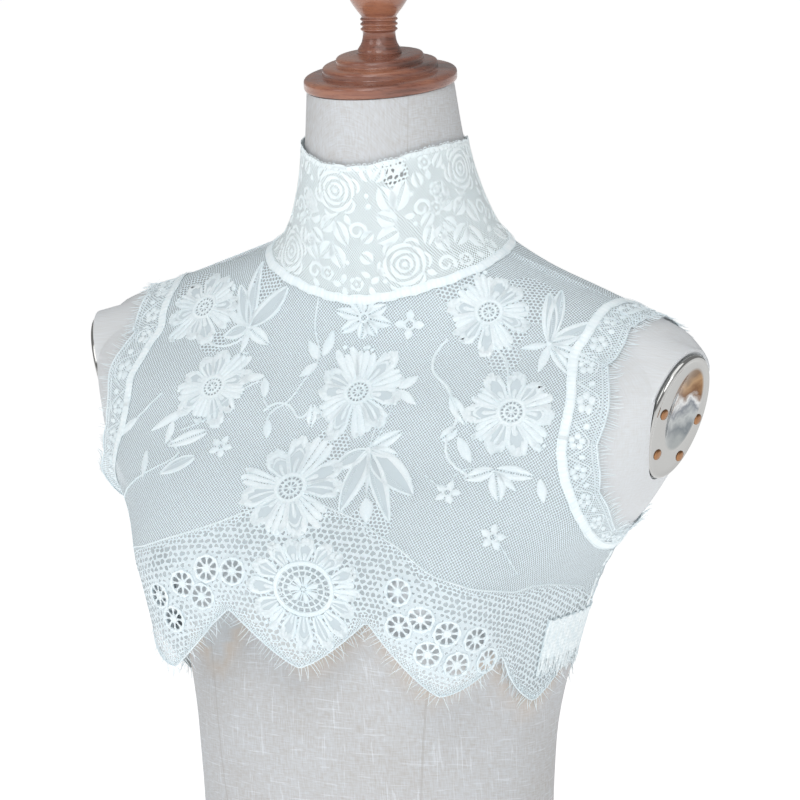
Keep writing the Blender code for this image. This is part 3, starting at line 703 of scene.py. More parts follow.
# %% The repeating tree
def copying_tree(name, along_edge):
    """Copies of a unit on marked spots, or at even steps along an edge, where they sway and vary in size."""
    tree = bpy.data.node_groups.new(name, "GeometryNodeTree")
    only_along = (("Step", "Float"), ("Unevenness", "Float"), ("Sway", "Float"), ("Seed", "Int"))
    for label, kind in (("Spots", "Geometry"), ("Unit", "Object"), ("Finish", "Material"),
                        *(only_along if along_edge else ())):
        tree.interface.new_socket(label, in_out="INPUT", socket_type="NodeSocket" + kind)
    tree.interface.new_socket("Mesh", in_out="OUTPUT", socket_type="NodeSocketGeometry")
    add, link = tree.nodes.new, tree.links.new
    given, result = add("NodeGroupInput"), add("NodeGroupOutput")
    unit, turn = add("GeometryNodeObjectInfo"), add("FunctionNodeAxesToRotation")
    link(given.outputs["Unit"], unit.inputs["Object"])
    turn.primary_axis, turn.secondary_axis = "Z", "X"
    for i, label in enumerate(("upward", "ahead")):
        read = add("GeometryNodeInputNamedAttribute")
        read.data_type = "FLOAT_VECTOR"
        read.inputs["Name"].default_value = label
        link(read.outputs["Attribute"], turn.inputs[i])
    copy, real, paint = (add("GeometryNode" + q)
                         for q in ("InstanceOnPoints", "RealizeInstances", "SetMaterial"))
    spots, copied = given.outputs["Spots"], copy.outputs[0]
    if along_edge:
        curve, even, lean = (add("GeometryNode" + q)
                             for q in ("MeshToCurve", "ResampleCurve", "RotateInstances"))
        even.mode = "LENGTH"
        link(spots, curve.inputs[0])
        link(curve.outputs[0], even.inputs["Curve"])
        link(given.outputs["Step"], even.inputs["Length"])
        for label, kind, middle, first, value, target in (
                ("Unevenness", "FLOAT", 1, 2, 1, copy.inputs["Scale"]),
                ("Sway", "FLOAT_VECTOR", 0, 0, 0, lean.inputs["Rotation"])):
            vary = add("FunctionNodeRandomValue")
            vary.data_type = kind
            for i, operation in enumerate(("SUBTRACT", "ADD")):
                end = add("ShaderNodeMath")
                end.operation = operation
                end.inputs[0].default_value = middle
                link(given.outputs[label], end.inputs[1])
                link(end.outputs[0], vary.inputs[first + i])
            link(given.outputs["Seed"], vary.inputs["Seed"])
            link(vary.outputs[value], target)
        link(copied, lean.inputs["Instances"])
        spots, copied = even.outputs[0], lean.outputs[0]
    for here, there in ((spots, copy.inputs["Points"]), (unit.outputs["Geometry"], copy.inputs["Instance"]),
                        (turn.outputs[0], copy.inputs["Rotation"]), (copied, real.inputs[0]),
                        (real.outputs[0], paint.inputs["Geometry"]), (paint.outputs[0], result.inputs[0]),
                        (given.outputs["Finish"], paint.inputs["Material"])):
        link(here, there)
    return tree


ON_SPOTS, ALONG_EDGE = copying_tree("repeat on spots", False), copying_tree("row along an edge", True)


def copies(name, tree, unit, points, upward, ahead, finish, slot, links=(), **settings):
    """Runs the tree on marked points and keeps the plain mesh that it makes."""
    made = plain_mesh(name, points, [], links)
    mark(made.data, "upward", upward)
    mark(made.data, "ahead", ahead)
    copier = made.modifiers.new(tree.name, "NODES")
    copier.node_group = tree
    known = {s.name: s.identifier for s in tree.interface.items_tree if s.in_out == "INPUT"}
    for label, value in {"Unit": unit, "Finish": finish.material, **settings}.items():
        copier[known[label]] = value
    settled(made)
    bpy.data.objects.remove(unit, do_unlink=True)
    for layer in [q for q in made.data.attributes if q.name in ("upward", "ahead")]:
        made.data.attributes.remove(layer)
    print(name + ":", len(made.data.polygons), "faces")
    return dress(made, finish, slot)


def upright(n):
    """Sideways directions for things that stand upright on the surface."""
    s = np.cross((0, 0, 1), n)
    return s / np.linalg.norm(s, axis=-1, keepdims=True)


# %% [markdown]
# ## Arm plates and screws
#
# Each arm stump is closed by a pressed oval plate with a rolled rim and a shallow dish, held by small brass
# screws. The profile is swept round the oval; the screws are one round head, repeated on four spots a side.
# The dish's reflections are painted into its colour: uneven bands, greys below, a bright glint, and browns
# above, so the plate marks where its dish is and how high in it each point lies, and the finish picks a colour
# from that.

# %% Chrome and brass
chrome = Finish("chrome plate", Metallic=1.0)
smear_and_reflection_wobble = chrome.noise(chrome.place(), 90, 4)
# painted reflection: bands up the dish stand in for the room it mirrors, greys below, a bright glint, browns above
painted_reflection = chrome.node("ValToRGB", {"stops": [
    (.05, (.35, .37, .37)), (.25, (.20, .22, .235)), (.38, (.42, .44, .44)), (.47, (.20, .215, .24)),
    (.56, (.62, .63, .63)), (.66, (.18, .094, .048)), (.80, (.38, .24, .13)), (.95, (.20, .13, .08))]},
    chrome.mark("dish level") + (smear_and_reflection_wobble - .5) * .55)
chrome.feed("Base Color", chrome.mix(chrome.mark("dish"), (.44, .44, .43), painted_reflection))
chrome.feed("Roughness", chrome.span(smear_and_reflection_wobble, .35, .7, .06, .16))
brass = Finish("brass screws", Metallic=1.0, Base_Color=(.33, .17, .085, 1))
brass.feed("Roughness", brass.span(brass.noise(brass.place(), 300, 3), .3, .7, .2, .4))

# %% Plates and screws
# share of the half length, share of the half width, out, rise, aft
PLATE = rounded([(.985, .985, 0, 0, 0), (1, 1, .0006, 0, 0), (1, 1, .0026, 0, 0), (.985, .985, .0038, 0, 0),
                 (.955, .945, .0042, 0, 0), (.92, .90, .0038, 0, 0), (.88, .85, .0034, .0008, .0006),
                 (.70, .63, .0034, .0050, .0040), (.665, .595, .0036, .0050, .0040),
                 (.63, .56, .0032, .0050, .0040), (.55, .49, .0024, .0050, .0040),
                 (.45, .40, .0016, .0050, .0040), (.33, .29, .0009, .0050, .0040),
                 (.20, .18, .0004, .0050, .0040), (.10, .09, .0002, .0050, .0040),
                 (.02, .02, .00015, .0050, .0040)])
SCREWS = [(.0039, -.0180), (-.0232, -.0125), (-.0040, .0237), (-.0275, .0150)]        # up the plate, back
head_rings = [[(r * cos(q), r * sin(q), z) for q in turns_of(14)]
              for r, z in ((.0034, 0), (.0036, .0003), (.0032, .0009), (.0018, .0012))]
spots, outwards, slants = [], [], []
for side, label in ((1, "left"), (-1, "right")):
    a, b = PLATE_HALF
    points, faces = rings_to_mesh([oval(side, a * s, b * q, out, 80, *shift) for s, q, out, *shift in PLATE])
    plate = put(f"arm_plate_pressed_{label}", points, faces, chrome, "chrome")
    c, slant, depth, outward = seat_frame(side)
    mark(plate.data, "dish", np.repeat(np.clip((.68 - PLATE[:, 0]) / .05, 0, 1), 80))
    mark(plate.data, "dish level", .5 + ((np.array(points) - c) @ slant - .0050) / (1.3 * a))
    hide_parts(f"arm_plate_{label}")
    for up_, deep in SCREWS:
        spots.append(c + outward * .0033 + slant * up_ + depth * deep)
        outwards.append(outward)
        slants.append(slant)
head = plain_mesh("screw head", *rings_to_mesh(head_rings))
copies("arm_plate_screws", ON_SPOTS, head, spots, outwards, slants, brass, "chrome")

# %% [markdown]
# ## Cutting and flattening the net
#
# A panel of lace is an outline with holes, filled with small even triangles and laid on the surface. Its
# threads must keep their size where the cloth bends, so the open sheet is unrolled with as little stretch as
# possible, and that flat pattern becomes the UV map, in metres. It is also the shape a maker would cut.


# %% Panels
def flatten(points, faces):
    """The sheet unrolled on the table: flat positions in metres, one for each point."""
    made = plain_mesh("flat pattern", points, faces)
    bpy.ops.object.select_all(action="DESELECT")
    bpy.context.view_layer.objects.active = made
    made.select_set(True)
    bpy.ops.object.mode_set(mode="EDIT")
    bpy.ops.mesh.select_all(action="SELECT")
    bpy.ops.uv.unwrap(method="MINIMUM_STRETCH", margin=0)
    bpy.ops.object.mode_set(mode="OBJECT")
    mesh = made.data
    corner, flat = np.empty(len(mesh.loops), int), np.empty(len(mesh.loops) * 2)
    mesh.loops.foreach_get("vertex_index", corner)
    mesh.uv_layers.active.data.foreach_get("uv", flat)
    where = np.zeros((len(mesh.vertices), 2))
    where[corner] = flat.reshape(-1, 2)
    bpy.data.objects.remove(made, do_unlink=True)
    f = np.array([q[:3] for q in faces])
    p = np.asarray(points, float)
    real = np.linalg.norm(np.cross(p[f[:, 1]] - p[f[:, 0]], p[f[:, 2]] - p[f[:, 0]]), axis=1).sum() / 2
    e, g = where[f[:, 1]] - where[f[:, 0]], where[f[:, 2]] - where[f[:, 0]]
    where = where * np.sqrt(real / (np.abs(e[:, 0] * g[:, 1] - e[:, 1] * g[:, 0]).sum() / 2))
    up = where.T @ (p[:, 2] - p[:, 2].mean())           # turn it so that the cloth's height runs up
    turn = pi / 2 - np.arctan2(up[1], up[0])
    return where @ np.array([[cos(turn), sin(turn)], [-sin(turn), cos(turn)]]), real


def within(points, loop):
    """Which points lie inside a loop."""
    x, y = points[:, 0], points[:, 1]
    hit = np.zeros(len(points), bool)
    for (x1, y1), (x2, y2) in zip(loop, np.roll(loop, -1, 0)):
        if y1 != y2:
            hit ^= ((y1 > y) != (y2 > y)) & (x < (x2 - x1) * (y - y1) / (y2 - y1) + x1)
    return hit


def fill(outline, holes, spacing):
    """Even triangles inside an outline and outside its holes, all as (angle, height)."""
    wide = .0022                                  # about the metres of cloth in a degree

    def flat(q):
        q = np.asarray(q, float)
        steep = np.where(q[..., 1] > .5, .5 + (q[..., 1] - .5) * 1.7, q[..., 1])
        return np.stack([q[..., 0] * wide, steep], -1)

    loops = [flat(outline)] + [flat(h) for h in holes]
    rim = np.concatenate(loops)
    edges, start = [], 0
    for loop in loops:
        edges += [(start + i, start + (i + 1) % len(loop)) for i in range(len(loop))]
        start += len(loop)
    low, high = loops[0].min(0), loops[0].max(0)
    grid = np.array([(x + spacing / 2 * (row % 2), y)
                     for row, y in enumerate(np.arange(low[1], high[1], spacing * .87))
                     for x in np.arange(low[0], high[0], spacing)])
    grid = grid[within(grid, loops[0])]
    for h in loops[1:]:
        grid = grid[~within(grid, h)]
    near = np.full(len(grid), 9.0)
    for part in np.array_split(rim, max(1, len(rim) // 200)):
        near = np.minimum(near, np.linalg.norm(grid[:, None] - part[None], axis=2).min(1))
    grid = grid[near > spacing * .5]
    corners = [tuple(map(float, p)) for p in np.concatenate([rim, grid])]
    vs, _, fs, *_ = delaunay_2d_cdt(corners, edges, [], 0, 1e-7)
    vs = np.array([tuple(v) for v in vs])
    fs = np.array([tuple(f) for f in fs if len(f) == 3])
    middle = vs[fs].mean(1)
    keep = within(middle, loops[0])
    for h in loops[1:]:
        keep &= ~within(middle, h)
    fs = fs[keep]
    e, g = vs[fs[:, 1]] - vs[fs[:, 0]], vs[fs[:, 2]] - vs[fs[:, 0]]
    turned = e[:, 0] * g[:, 1] - e[:, 1] * g[:, 0] < 0
    fs[turned] = fs[turned][:, ::-1]
    back_ = np.stack([vs[:, 0] / wide, np.where(vs[:, 1] > .5, .5 + (vs[:, 1] - .5) / 1.7, vs[:, 1])], -1)
    return back_, [tuple(int(i) for i in f) for f in fs]


def ripple(flat):
    """Soft gathers where the side is shirred under the arm."""
    a, h = np.abs(flat[:, 0]), flat[:, 1]
    here = np.exp(-((a - 92) / 13) ** 2 - ((h - .372) / .026) ** 2)
    return .0011 * here * (1 + np.sin(a * 1.35 + 40 * h))


def sheet_mesh(name, flat, faces, lift, thick, finish, slot, uv, marks=None):
    """Both sides and the edges of a thin sheet over (angle, height) points."""
    n = len(flat)
    lift, thick = np.broadcast_to(np.asarray(lift, float), n), np.broadcast_to(np.asarray(thick, float), n)
    sides = {(f[i], f[(i + 1) % len(f)]) for f in faces for i in range(len(f))}
    rim = [(b, a, a + n, b + n) for a, b in sorted(sides) if (b, a) not in sides]
    skin = [tuple(i + n for i in f) for f in faces] + [tuple(reversed(f)) for f in faces]
    made = put(name, np.concatenate([lay(flat, lift), lay(flat, lift + thick)]), skin + rim, finish, slot,
               np.concatenate([uv, uv]))
    for label, values in (marks or {}).items():
        mark(made.data, label, np.tile(np.asarray(values, float), 2))
    return made


# %% [markdown]
# ## Where the flowers go
#
# The cloth's pattern is planned before it is cut: large daisies, leaf sprays, a medallion in every second
# scallop and ring flowers in the others. The net is cut away under every ring flower, and only its finest
# threads are left in the small holes of the other centres.

# %% Plan of the pattern
# daisies: angle, height, size, turn, how much taller than wide
DAISIES = [(-74.5, .537, .92, 20, 1.0), (-49.4, .4926, .86, 5, 1.12), (12.8, .4961, .92, 0, 1.28),
           (-5.2, .4397, 1.05, 10, 1.16), (68.6, .5455, .88, 15, 1.06), (59.6, .4901, .92, 0, 1.10)]
MEDALLIONS = [(4.9, .3833, 1.0)]
WHEEL, MEDAL = .0076, .0172
MEDAL_OVAL = (1.05, .86)                                # its centre is wider than high
RING = .0070                                            # hole under a ring flower
# ring flowers round a scallop: along the hem, above its base line
RING_FLOWERS = [(-.031, .026), (-.0175, .0133), (-.030, .0046), (-.002, .0082),
                (-.0125, -.0075), (.017, .0081), (.0055, -.0103), (.028, -.0041)]
RING_FLOWERS_RIGHT = [(.017, .0180), (-.003, .0130), (.033, .0245), (.0065, -.0030), (.050, .0240),
                      (.029, .0080)]

ring_spots = []
for k in range(-4, 5, 2):
    for run, over in (RING_FLOWERS_RIGHT if k == -2 else RING_FLOWERS):
        run = HEM_START + (k + 1) * HEM_REPEAT + run + (0 if k == -2 else .0045)
        if abs(run) < HEM_RUN[-1] - .010:
            ring_spots.append((float(angle_at(run)), float(hem_base(run) + over)))
for k in (-4, -2, 2, 4):
    run = HEM_START + k * HEM_REPEAT
    if abs(run) < HEM_RUN[-1] - .040 and not 70 < abs(angle_at(run)) < 112:
        MEDALLIONS.append((float(angle_at(run)), float(hem_base(run) + .0165), .92))
# the back carries the same flowers, turned round the neck
DAISIES += [(s * (180 - a), h, size, turn, 1.1) for a, h, size, turn in
            ((22, .520, .92, 0), (47, .470, .95, 20), (20, .440, .95, 10), (66, .527, .80, 5))
            for s in (-1, 1)]
print("daisies:", len(DAISIES), " medallions:", len(MEDALLIONS), " ring flowers:", len(ring_spots))


# %% Drawing on the surface
def spot(angle, height, turn=0, size=1.0):
    """A drawing board lying on the surface: it turns (x, y) in metres into points in space."""
    p, n = lay([(angle, height)], 0)[0], normal(np.radians([angle]), np.array([height]))[0]
    side = upright(n)
    up = np.cross(n, side)
    c, s = cos(radians(turn)), sin(radians(turn))

    def place(xy):
        x, y = (np.asarray(xy, float) * size).T
        return p + np.outer(x * c - y * s, side) + np.outer(x * s + y * c, up)
    return place


def circle(r, count=14, start=0.0, middle=(0, 0)):
    t = start + turns_of(count)
    return np.stack([middle[0] + r * np.cos(t), middle[1] + r * np.sin(t)], -1)


HOLES = [settle(spot(a, h)(circle(RING, 12))) for a, h in ring_spots]


def owned(low, high):
    """The holes that lie wholly between two angles."""
    return [h for h in HOLES if low + .8 < h[:, 0].min() and h[:, 0].max() < high - .8
            and h[:, 0].max() - h[:, 0].min() < 90]


# %% [markdown]
# ## The net
#
# The ground is a fine net of twisted threads, about 2 mm from thread to thread, half of it open. It is too
# fine to be cut, so the sheet is real, thin and shaped, and the threads are in its Alpha, drawn on the flat
# pattern. Two marks on the sheet say where the ground opens into round meshes, and where it opens widest, and
# where it closes into solid clothwork: the hole of each mesh just grows or shrinks. The finest threads of all
# can't be told apart, so they are a haze that crosses every mesh, thinner in the wide grounds.


# %% Net finish
HAZE, WIDE_HAZE = .40, .34
# thread lets some light through
LET_THROUGH = dict(Subsurface_Weight=.3, Subsurface_Radius=(1, 1, 1), Subsurface_Scale=.0012)


def net_finish(name, colour, pitch, hole, wide_pitch, fine_haze=HAZE, wide_haze=WIDE_HAZE):
    made = Finish(name, Roughness=.85, Sheen_Weight=.15, **LET_THROUGH)
    u, v = made.cloth()
    wander, wander_too = (made.weave(u * 260 + shift, v * 260, 1) for shift in (0, 7.3))

    def mesh(pitch, squash, sway):
        """How far a place is from the middle of its mesh, 0 to 1, in staggered rows that wander a little."""
        row = (v + (wander - .5) * sway) * (1 / (pitch * squash))
        odd = row.maths("FLOOR").maths("MODULO", 2)
        x = abs(((u + (wander_too - .5) * sway) * (1 / pitch) + odd * .5).maths("FRACT") - .5) * 2
        y = abs(row.maths("FRACT") - .5) * 2
        return (x * x + y * y) ** .5

    stray = (wander - .5) * .0014
    a, b = (u + v * .9 + stray) * (1 / pitch), (u - v * .9 + stray) * (1 / pitch)
    x, y = abs(a.maths("FRACT") - .5) * 2, abs(b.maths("FRACT") - .5) * 2
    fine = (x.maths("POWER", 2.6) + y.maths("POWER", 2.6)) ** (1 / 2.6)
    wide, widest = mesh(wide_pitch, .87, .0016), mesh(wide_pitch * 1.5, .87, .0038)
    solid, open_ = made.mark("solid"), made.mark("open")
    uneven = made.weave(u * 300, v * 300)
    threads = fine > (1 - solid) * (hole * .9 + uneven * hole * .2)
    for ground, size, least in ((wide, .63, .45), (widest, .62, .85)):
        threads = threads + ((ground > (1 - solid) * (size + uneven * .22)) - threads) * (open_ > least)
    haze = (open_ > .45) * (wide_haze - fine_haze) + fine_haze
    made.feed("Alpha", threads * (1 - haze) + haze)
    cloudy = made.weave(u * 40, v * 40)
    made.feed("Base Color", made.mix(cloudy, colour, tuple(min(1, q * 1.05) for q in colour)))
    made.bump(fine, .4, .0003)
    return made


net = net_finish("net", (.71, .815, .865), .0020, .77, .0028)

# %% Panels of the yoke
PARTED = .10
hole_turns = turns_of(88)
arc = armhole(np.sort((hole_turns + pi / 2) % tau)[::-1] - pi / 2)
front_arc = np.array([q for q in arc if q[0] < SEAM_ANGLE - .6])
rear_arc = np.array([q for q in armhole(np.sort((hole_turns - pi / 2) % tau) + pi / 2)
                     if q[0] > SEAM_ANGLE + .6])
shoulder, underarm = armhole([pi / 2, -pi / 2])[:, 1]


def down(angle, high, low, step=.004):
    count = max(3, round(abs(high - low) / step))
    return np.stack([np.full(count, angle), np.linspace(high, low, count + 2)[1:-1]], -1)


def hem_points(first, last, step=.0026):
    return hem(np.linspace(first, last, round(abs(last - first) / step) + 1))


def neck_points(first, last, count):
    return np.array([(a, neck_line(a) - .0003) for a in np.linspace(first, last, count)])


def near(flat, spots, reach):
    """1 near any of the spots, falling to 0 at the reach, in metres on the surface."""
    here = lay(flat, 0)
    share = np.zeros(len(flat))
    for (a, h), r in zip(spots, np.broadcast_to(reach, len(spots))):
        d = np.linalg.norm(here - lay([(a, h)], 0), axis=1)
        share = np.maximum(share, np.clip(1.6 * (1 - d / r), 0, 1))
    return share


# the line above which the plain net begins, and where the ground opens above it: angle, height (and reach)
BORDER = np.array([(-64, .388), (-52, .392), (-39.5, .3985), (-27.6, .4114), (-16.8, .4239), (-9, .4300),
                   (5, .4330), (19, .4250), (29.1, .4118), (35.6, .3977), (44.1, .3892), (56.2, .3841),
                   (67.5, .3880), (80, .385)])
OPEN_GROUND = [(5, .465, .020), (65.5, .519, .017), (-63, .517, .015), (-12, .421, .022), (22, .424, .024),
               (12, .408, .020), (80, .553, .032), (64, .563, .026), (89, .525, .026), (70, .536, .022),
               (-84, .548, .024), (-62, .556, .022), (-128, .500, .030), (134, .500, .030), (158, .470, .025),
               (-158, .470, .025)]


def border(angle):
    """Height of that line at any angle."""
    a = (np.asarray(angle) + 180) % 360 - 180
    front = np.interp(a, BORDER[:, 0], BORDER[:, 1])
    run = run_at(a)
    rear = hem_base(run) + .030 + .012 * np.cos(tau * (run - HEM_START) / (2 * HEM_REPEAT))
    share = np.clip((np.abs(a) - 62) / 16, 0, 1)
    return front * (1 - share) + rear * share


def marks(flat):
    below = np.clip((border(flat[:, 0]) - flat[:, 1]) / .004, 0, 1)
    halo = near(flat, [q[:2] for q in OPEN_GROUND], [q[2] for q in OPEN_GROUND])
    rings = near(flat, ring_spots, .0125)
    centres = near(flat, [q[:2] for q in DAISIES + MEDALLIONS],
                   [WHEEL * q[2] for q in DAISIES] + [MEDAL * q[2] for q in MEDALLIONS])
    from_edge = np.clip((flat[:, 1] - hem(run_at(flat[:, 0]))[:, 1] - .0045) / .003, 0, 1)
    return {"open": np.maximum(below * from_edge, halo * .70),
            "solid": np.clip(rings * 1.25, 0, 1) - 3 * centres}


def panel(name, outline, holes, spacing, node, finish, slot):
    flat, faces = fill(outline, holes, spacing)
    uv, area = flatten(lay(flat, NET_LIFT), faces)
    made = sheet_mesh(name, flat, faces, NET_LIFT + ripple(flat), NET_THICK, finish, slot, uv, marks(flat))
    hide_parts(node)
    size = uv.max(0) - uv.min(0)
    CUT[name] = (made, [float(q) for q in size], float(area))
    print(f"{name}: {len(faces)} triangles a side, {size[0]:.3f} x {size[1]:.3f} m, {area:.4f} m2")
    return made


def side_seam(at, arc, foot):
    """Down a side of a panel: round the armhole and on to the hem."""
    return np.concatenate([[[at, shoulder + .0002]], arc, [[at, underarm - .0002]], down(at, underarm, foot)])


CUT = {}
edge = SEAM_ANGLE - PARTED
hem_edge = hem_points(float(run_at(edge)), float(run_at(-edge)))
left_side, right_side = (side_seam(edge, front_arc, foot) for foot in (hem_edge[0, 1], hem_edge[-1, 1]))
panel("front_net",
      np.concatenate([neck_points(-edge, edge, 61), left_side, hem_edge, mirrored(right_side)[::-1]]),
      owned(-edge, edge), .0050, "front_panel", net, "lace")
for side, label in ((1, "left"), (-1, "right")):
    near_edge, middle = SEAM_ANGLE + PARTED, 180 - .15
    hem_edge = hem_points(float(run_at(side * near_edge)), float(run_at(side * middle))) * (side, 1)
    loop = np.concatenate([neck_points(middle, near_edge, 30), side_seam(near_edge, rear_arc, hem_edge[0, 1]),
                           hem_edge, down(middle, hem_edge[-1, 1], neck_line(middle))])
    panel(f"back_net_{label}", loop * (side, 1), owned(*sorted((side * near_edge, side * middle))), .0060,
          f"back_panel_{label}", net, "lace")

# %% [markdown]
# ## Raised thread work
#
# Petals, leaves, stems and edges are thicker clothwork and outlining cord on top of the net. Each is a
# closed little solid that follows a line: a cord has a ridge in the middle, a band has a flat top and
# bevelled sides, and a pad is a filled, slightly domed shape. Hundreds of them are gathered into one mesh
# for each panel.


# %% Cords, bands and pads
class Work:
    """Gathers raised work into one mesh. Sheer work is thinner clothwork, which looks a little greyer."""

    def __init__(self, over=None, keep=None):
        self.points, self.faces, self.sheer, self.total = [], [], [], 0
        self.over = over or (lambda flat: np.zeros(len(flat)))   # how far the cloth under it stands off
        self.keep = keep or (lambda flat: flat)                  # holds the work inside its piece

    def add(self, points, faces, sheer=0.0):
        self.points.append(points)
        self.sheer.append(np.full(len(points), float(sheer)))
        self.faces += [tuple(i + self.total for i in f) for f in faces]
        self.total += len(points)

    def flat(self, path):
        path = np.asarray(path, float)
        return self.keep(settle(path) if path.shape[1] == 3 else path)

    def line(self, path, rows, closed):
        """Sweeps rows of (share of the width, lift) along a path on the surface."""
        flat = self.flat(path)
        base, n, s = on_surface(flat, closed)
        k, m, over = len(rows), len(base), self.over(flat)
        points = np.stack([base + s * np.asarray(w, float).reshape(-1, 1) + n * (over + h).reshape(-1, 1)
                           for w, h in rows], 1)
        self.add(points.reshape(-1, 3), grid_faces(m, k, loop=closed) + ([] if closed else caps(m, k)))

    def cord(self, path, width=.0009, high=.0008, closed=False, low=WORK):
        w = np.asarray(width, float) / 2
        self.line(path, [(-w, low), (0, low + high), (w, low)], closed)

    def band(self, path, width, high=.0006, closed=False, low=WORK):
        w = np.asarray(width, float) / 2
        self.line(path, [(-w, low), (-w * .62, low + high), (w * .62, low + high), (w, low)], closed)

    def pad(self, outline, high=.0006, low=WORK, sheer=0.0):
        """A filled shape; its outline is seen whole from its middle."""
        flat = self.flat(outline)
        middle, low = flat.mean(0, keepdims=True), low + self.over(flat)
        m, mean = len(flat), np.mean(low)
        points = np.concatenate([lay(flat, low), lay(middle + (flat - middle) * .78, low + high),
                                 lay(middle, mean + high * 1.1), lay(middle, mean - .0001)])
        faces = []
        for i in range(m):
            j = (i + 1) % m
            faces += [(i, j, m + j, m + i), (m + i, m + j, 2 * m), (j, i, 2 * m + 1)]
        self.add(points, faces, sheer)

    def finish(self, name, finish, slot):
        made = put(name, np.concatenate(self.points), self.faces, finish, slot)
        mark(made.data, "sheer", np.concatenate(self.sheer))
        print(name + ":", len(made.data.polygons), "faces")
        return made


def ray(board, turn, start=0.0):
    """A board on a board: its y axis points along the turn, from a distance out."""
    c, s = cos(turn), sin(turn)

    def place(xy):
        x, y = np.asarray(xy, float).T + [[0], [start]]
        return board(np.stack([x * c + y * s, y * c - x * s], -1))
    return place


def pointing(root, tip):
    """A board at the root, its y axis towards the tip, and how far the tip is; both as (angle, height)."""
    p, q = lay([root, tip], 0)
    n = normal(np.radians([root[0]]), np.array([root[1]]))[0]
    up = q - p - n * np.dot(q - p, n)
    long = np.linalg.norm(up)
    up /= long
    side = np.cross(up, n)

    def place(xy):
        xy = np.asarray(xy, float)
        return p + np.outer(xy[:, 0], side) + np.outer(xy[:, 1], up)
    return place, long


def steps(count):
    return np.linspace(0, 1, count)


# %% Petals, leaves and stems
def finger(work, board, root, tip, fat, lean=0.0, high=.0006):
    """A fat rounded thread bundle that starts thin and ends in a lobe."""
    f = steps(8)
    middle = np.outer(1 - f, root) + np.outer(f, tip)
    way = np.subtract(tip, root) / np.hypot(*np.subtract(tip, root))
    middle += np.outer(np.sin(pi * f) * lean, (-way[1], way[0]))
    width = fat * np.interp(f, [0, .15, .40, .78, .92, 1], [.35, .55, .70, 1, .88, .45])
    work.band(board(middle), width, high)


def petal(work, board, long, wide, kind, chance):
    """Clothwork with a ruffled rim. 0: round one sheer window; 1: two; 2: three bundles; 3: a rolled tip."""
    a = np.linspace(-pi / 2, pi / 2, 15)
    ruffle = 1 + .06 * np.sin(7 * a + chance.uniform(0, tau)) + .04 * np.sin(12 * a + chance.uniform(0, tau))
    tip = np.stack([wide / 2 * np.sin(a), long * (.54 + .44 * np.cos(a))], -1) * ruffle[:, None]
    edge = np.concatenate([[(-wide * .20, 0)], tip, [(wide * .20, 0)]])
    if kind == 2:
        for j in (-1, 0, 1):
            finger(work, board, (j * wide * .13, 0), (j * wide * .34, long * chance.uniform(.74, 1.0)),
                   wide * .38, -j * wide * .09)
    else:
        work.pad(board(edge), .0003, sheer=1)
        bold = 1 - np.linspace(-1, 1, 17) ** 2
        work.band(board(edge * (.80, .90)), .0018 + wide * .27 * bold * chance.uniform(.8, 1.2), .0007)
        lean = wide * chance.uniform(-.08, .08)
        if kind == 3:
            f = steps(9)
            work.band(board(np.stack([wide * (.60 * f - .28), long * (.46 + .20 * np.sin(pi * f))], -1)),
                      .0026 * np.sin(pi * np.clip(f, .12, .88)), .0006)
        finger(work, board, (0, 0), (lean, long * (.34, .74, 0, .44)[kind]),
               wide * (.34, .20, 0, .26)[kind], lean)
    for q in chance.uniform(-1.3, 1.3, 4):
        middle = (wide * .44 * sin(q), long * (.54 + .42 * cos(q)))
        work.pad(board(circle(chance.uniform(.0010, .0021), 7, 0, middle)), .0008)


def rounded_bars(work, board, count, low, high, wide, start=0.0):
    """Bars across a ring, wider at both ends, which leave rounded holes between them."""
    fat = wide * np.array([2.1, 1.2, 1, 1.2, 2.1])
    for a in start + turns_of(count):
        work.cord(board(np.outer(np.linspace(low, high, 5), (cos(a), sin(a)))), fat, .0005)


def wheel(work, board, r):
    """An open centre: two rings of small holes round a hub, in a ring that covers the cut net."""
    work.band(board(circle(r + .0014, 26)), .0032, .0007, True)
    work.band(board(circle(r * .63, 18)), .0017, .0006, True)
    work.pad(board(circle(r * .17, 8)), .0008)
    rounded_bars(work, board, 16, r * .72, r * 1.02, .0009)
    rounded_bars(work, board, 8, r * .14, r * .54, .0009)


def daisy(work, board, petals, reach, seed, tall=1.0):
    """Uneven petals round an open centre, some pushed aside, with short inner lobes between them."""
    chance = np.random.default_rng(seed)
    wheel(work, board, WHEEL)
    start = WHEEL + .0020
    for k in range(petals):
        turn = tau * (k + chance.uniform(-.16, .16)) / petals
        long = reach * (1 + (tall - 1) * cos(turn) ** 2) * chance.uniform(.86, 1.12) - start
        petal(work, ray(board, turn, start), long, tau * reach * .74 / petals * chance.uniform(.88, 1.16),
              (2, 0, 1, 2, 3)[(k + seed) % 5], chance)
        work.pad(ray(board, turn + pi / petals, start)(circle(1, 8) * (.0013, .0022) + (0, .0018)), .0008)


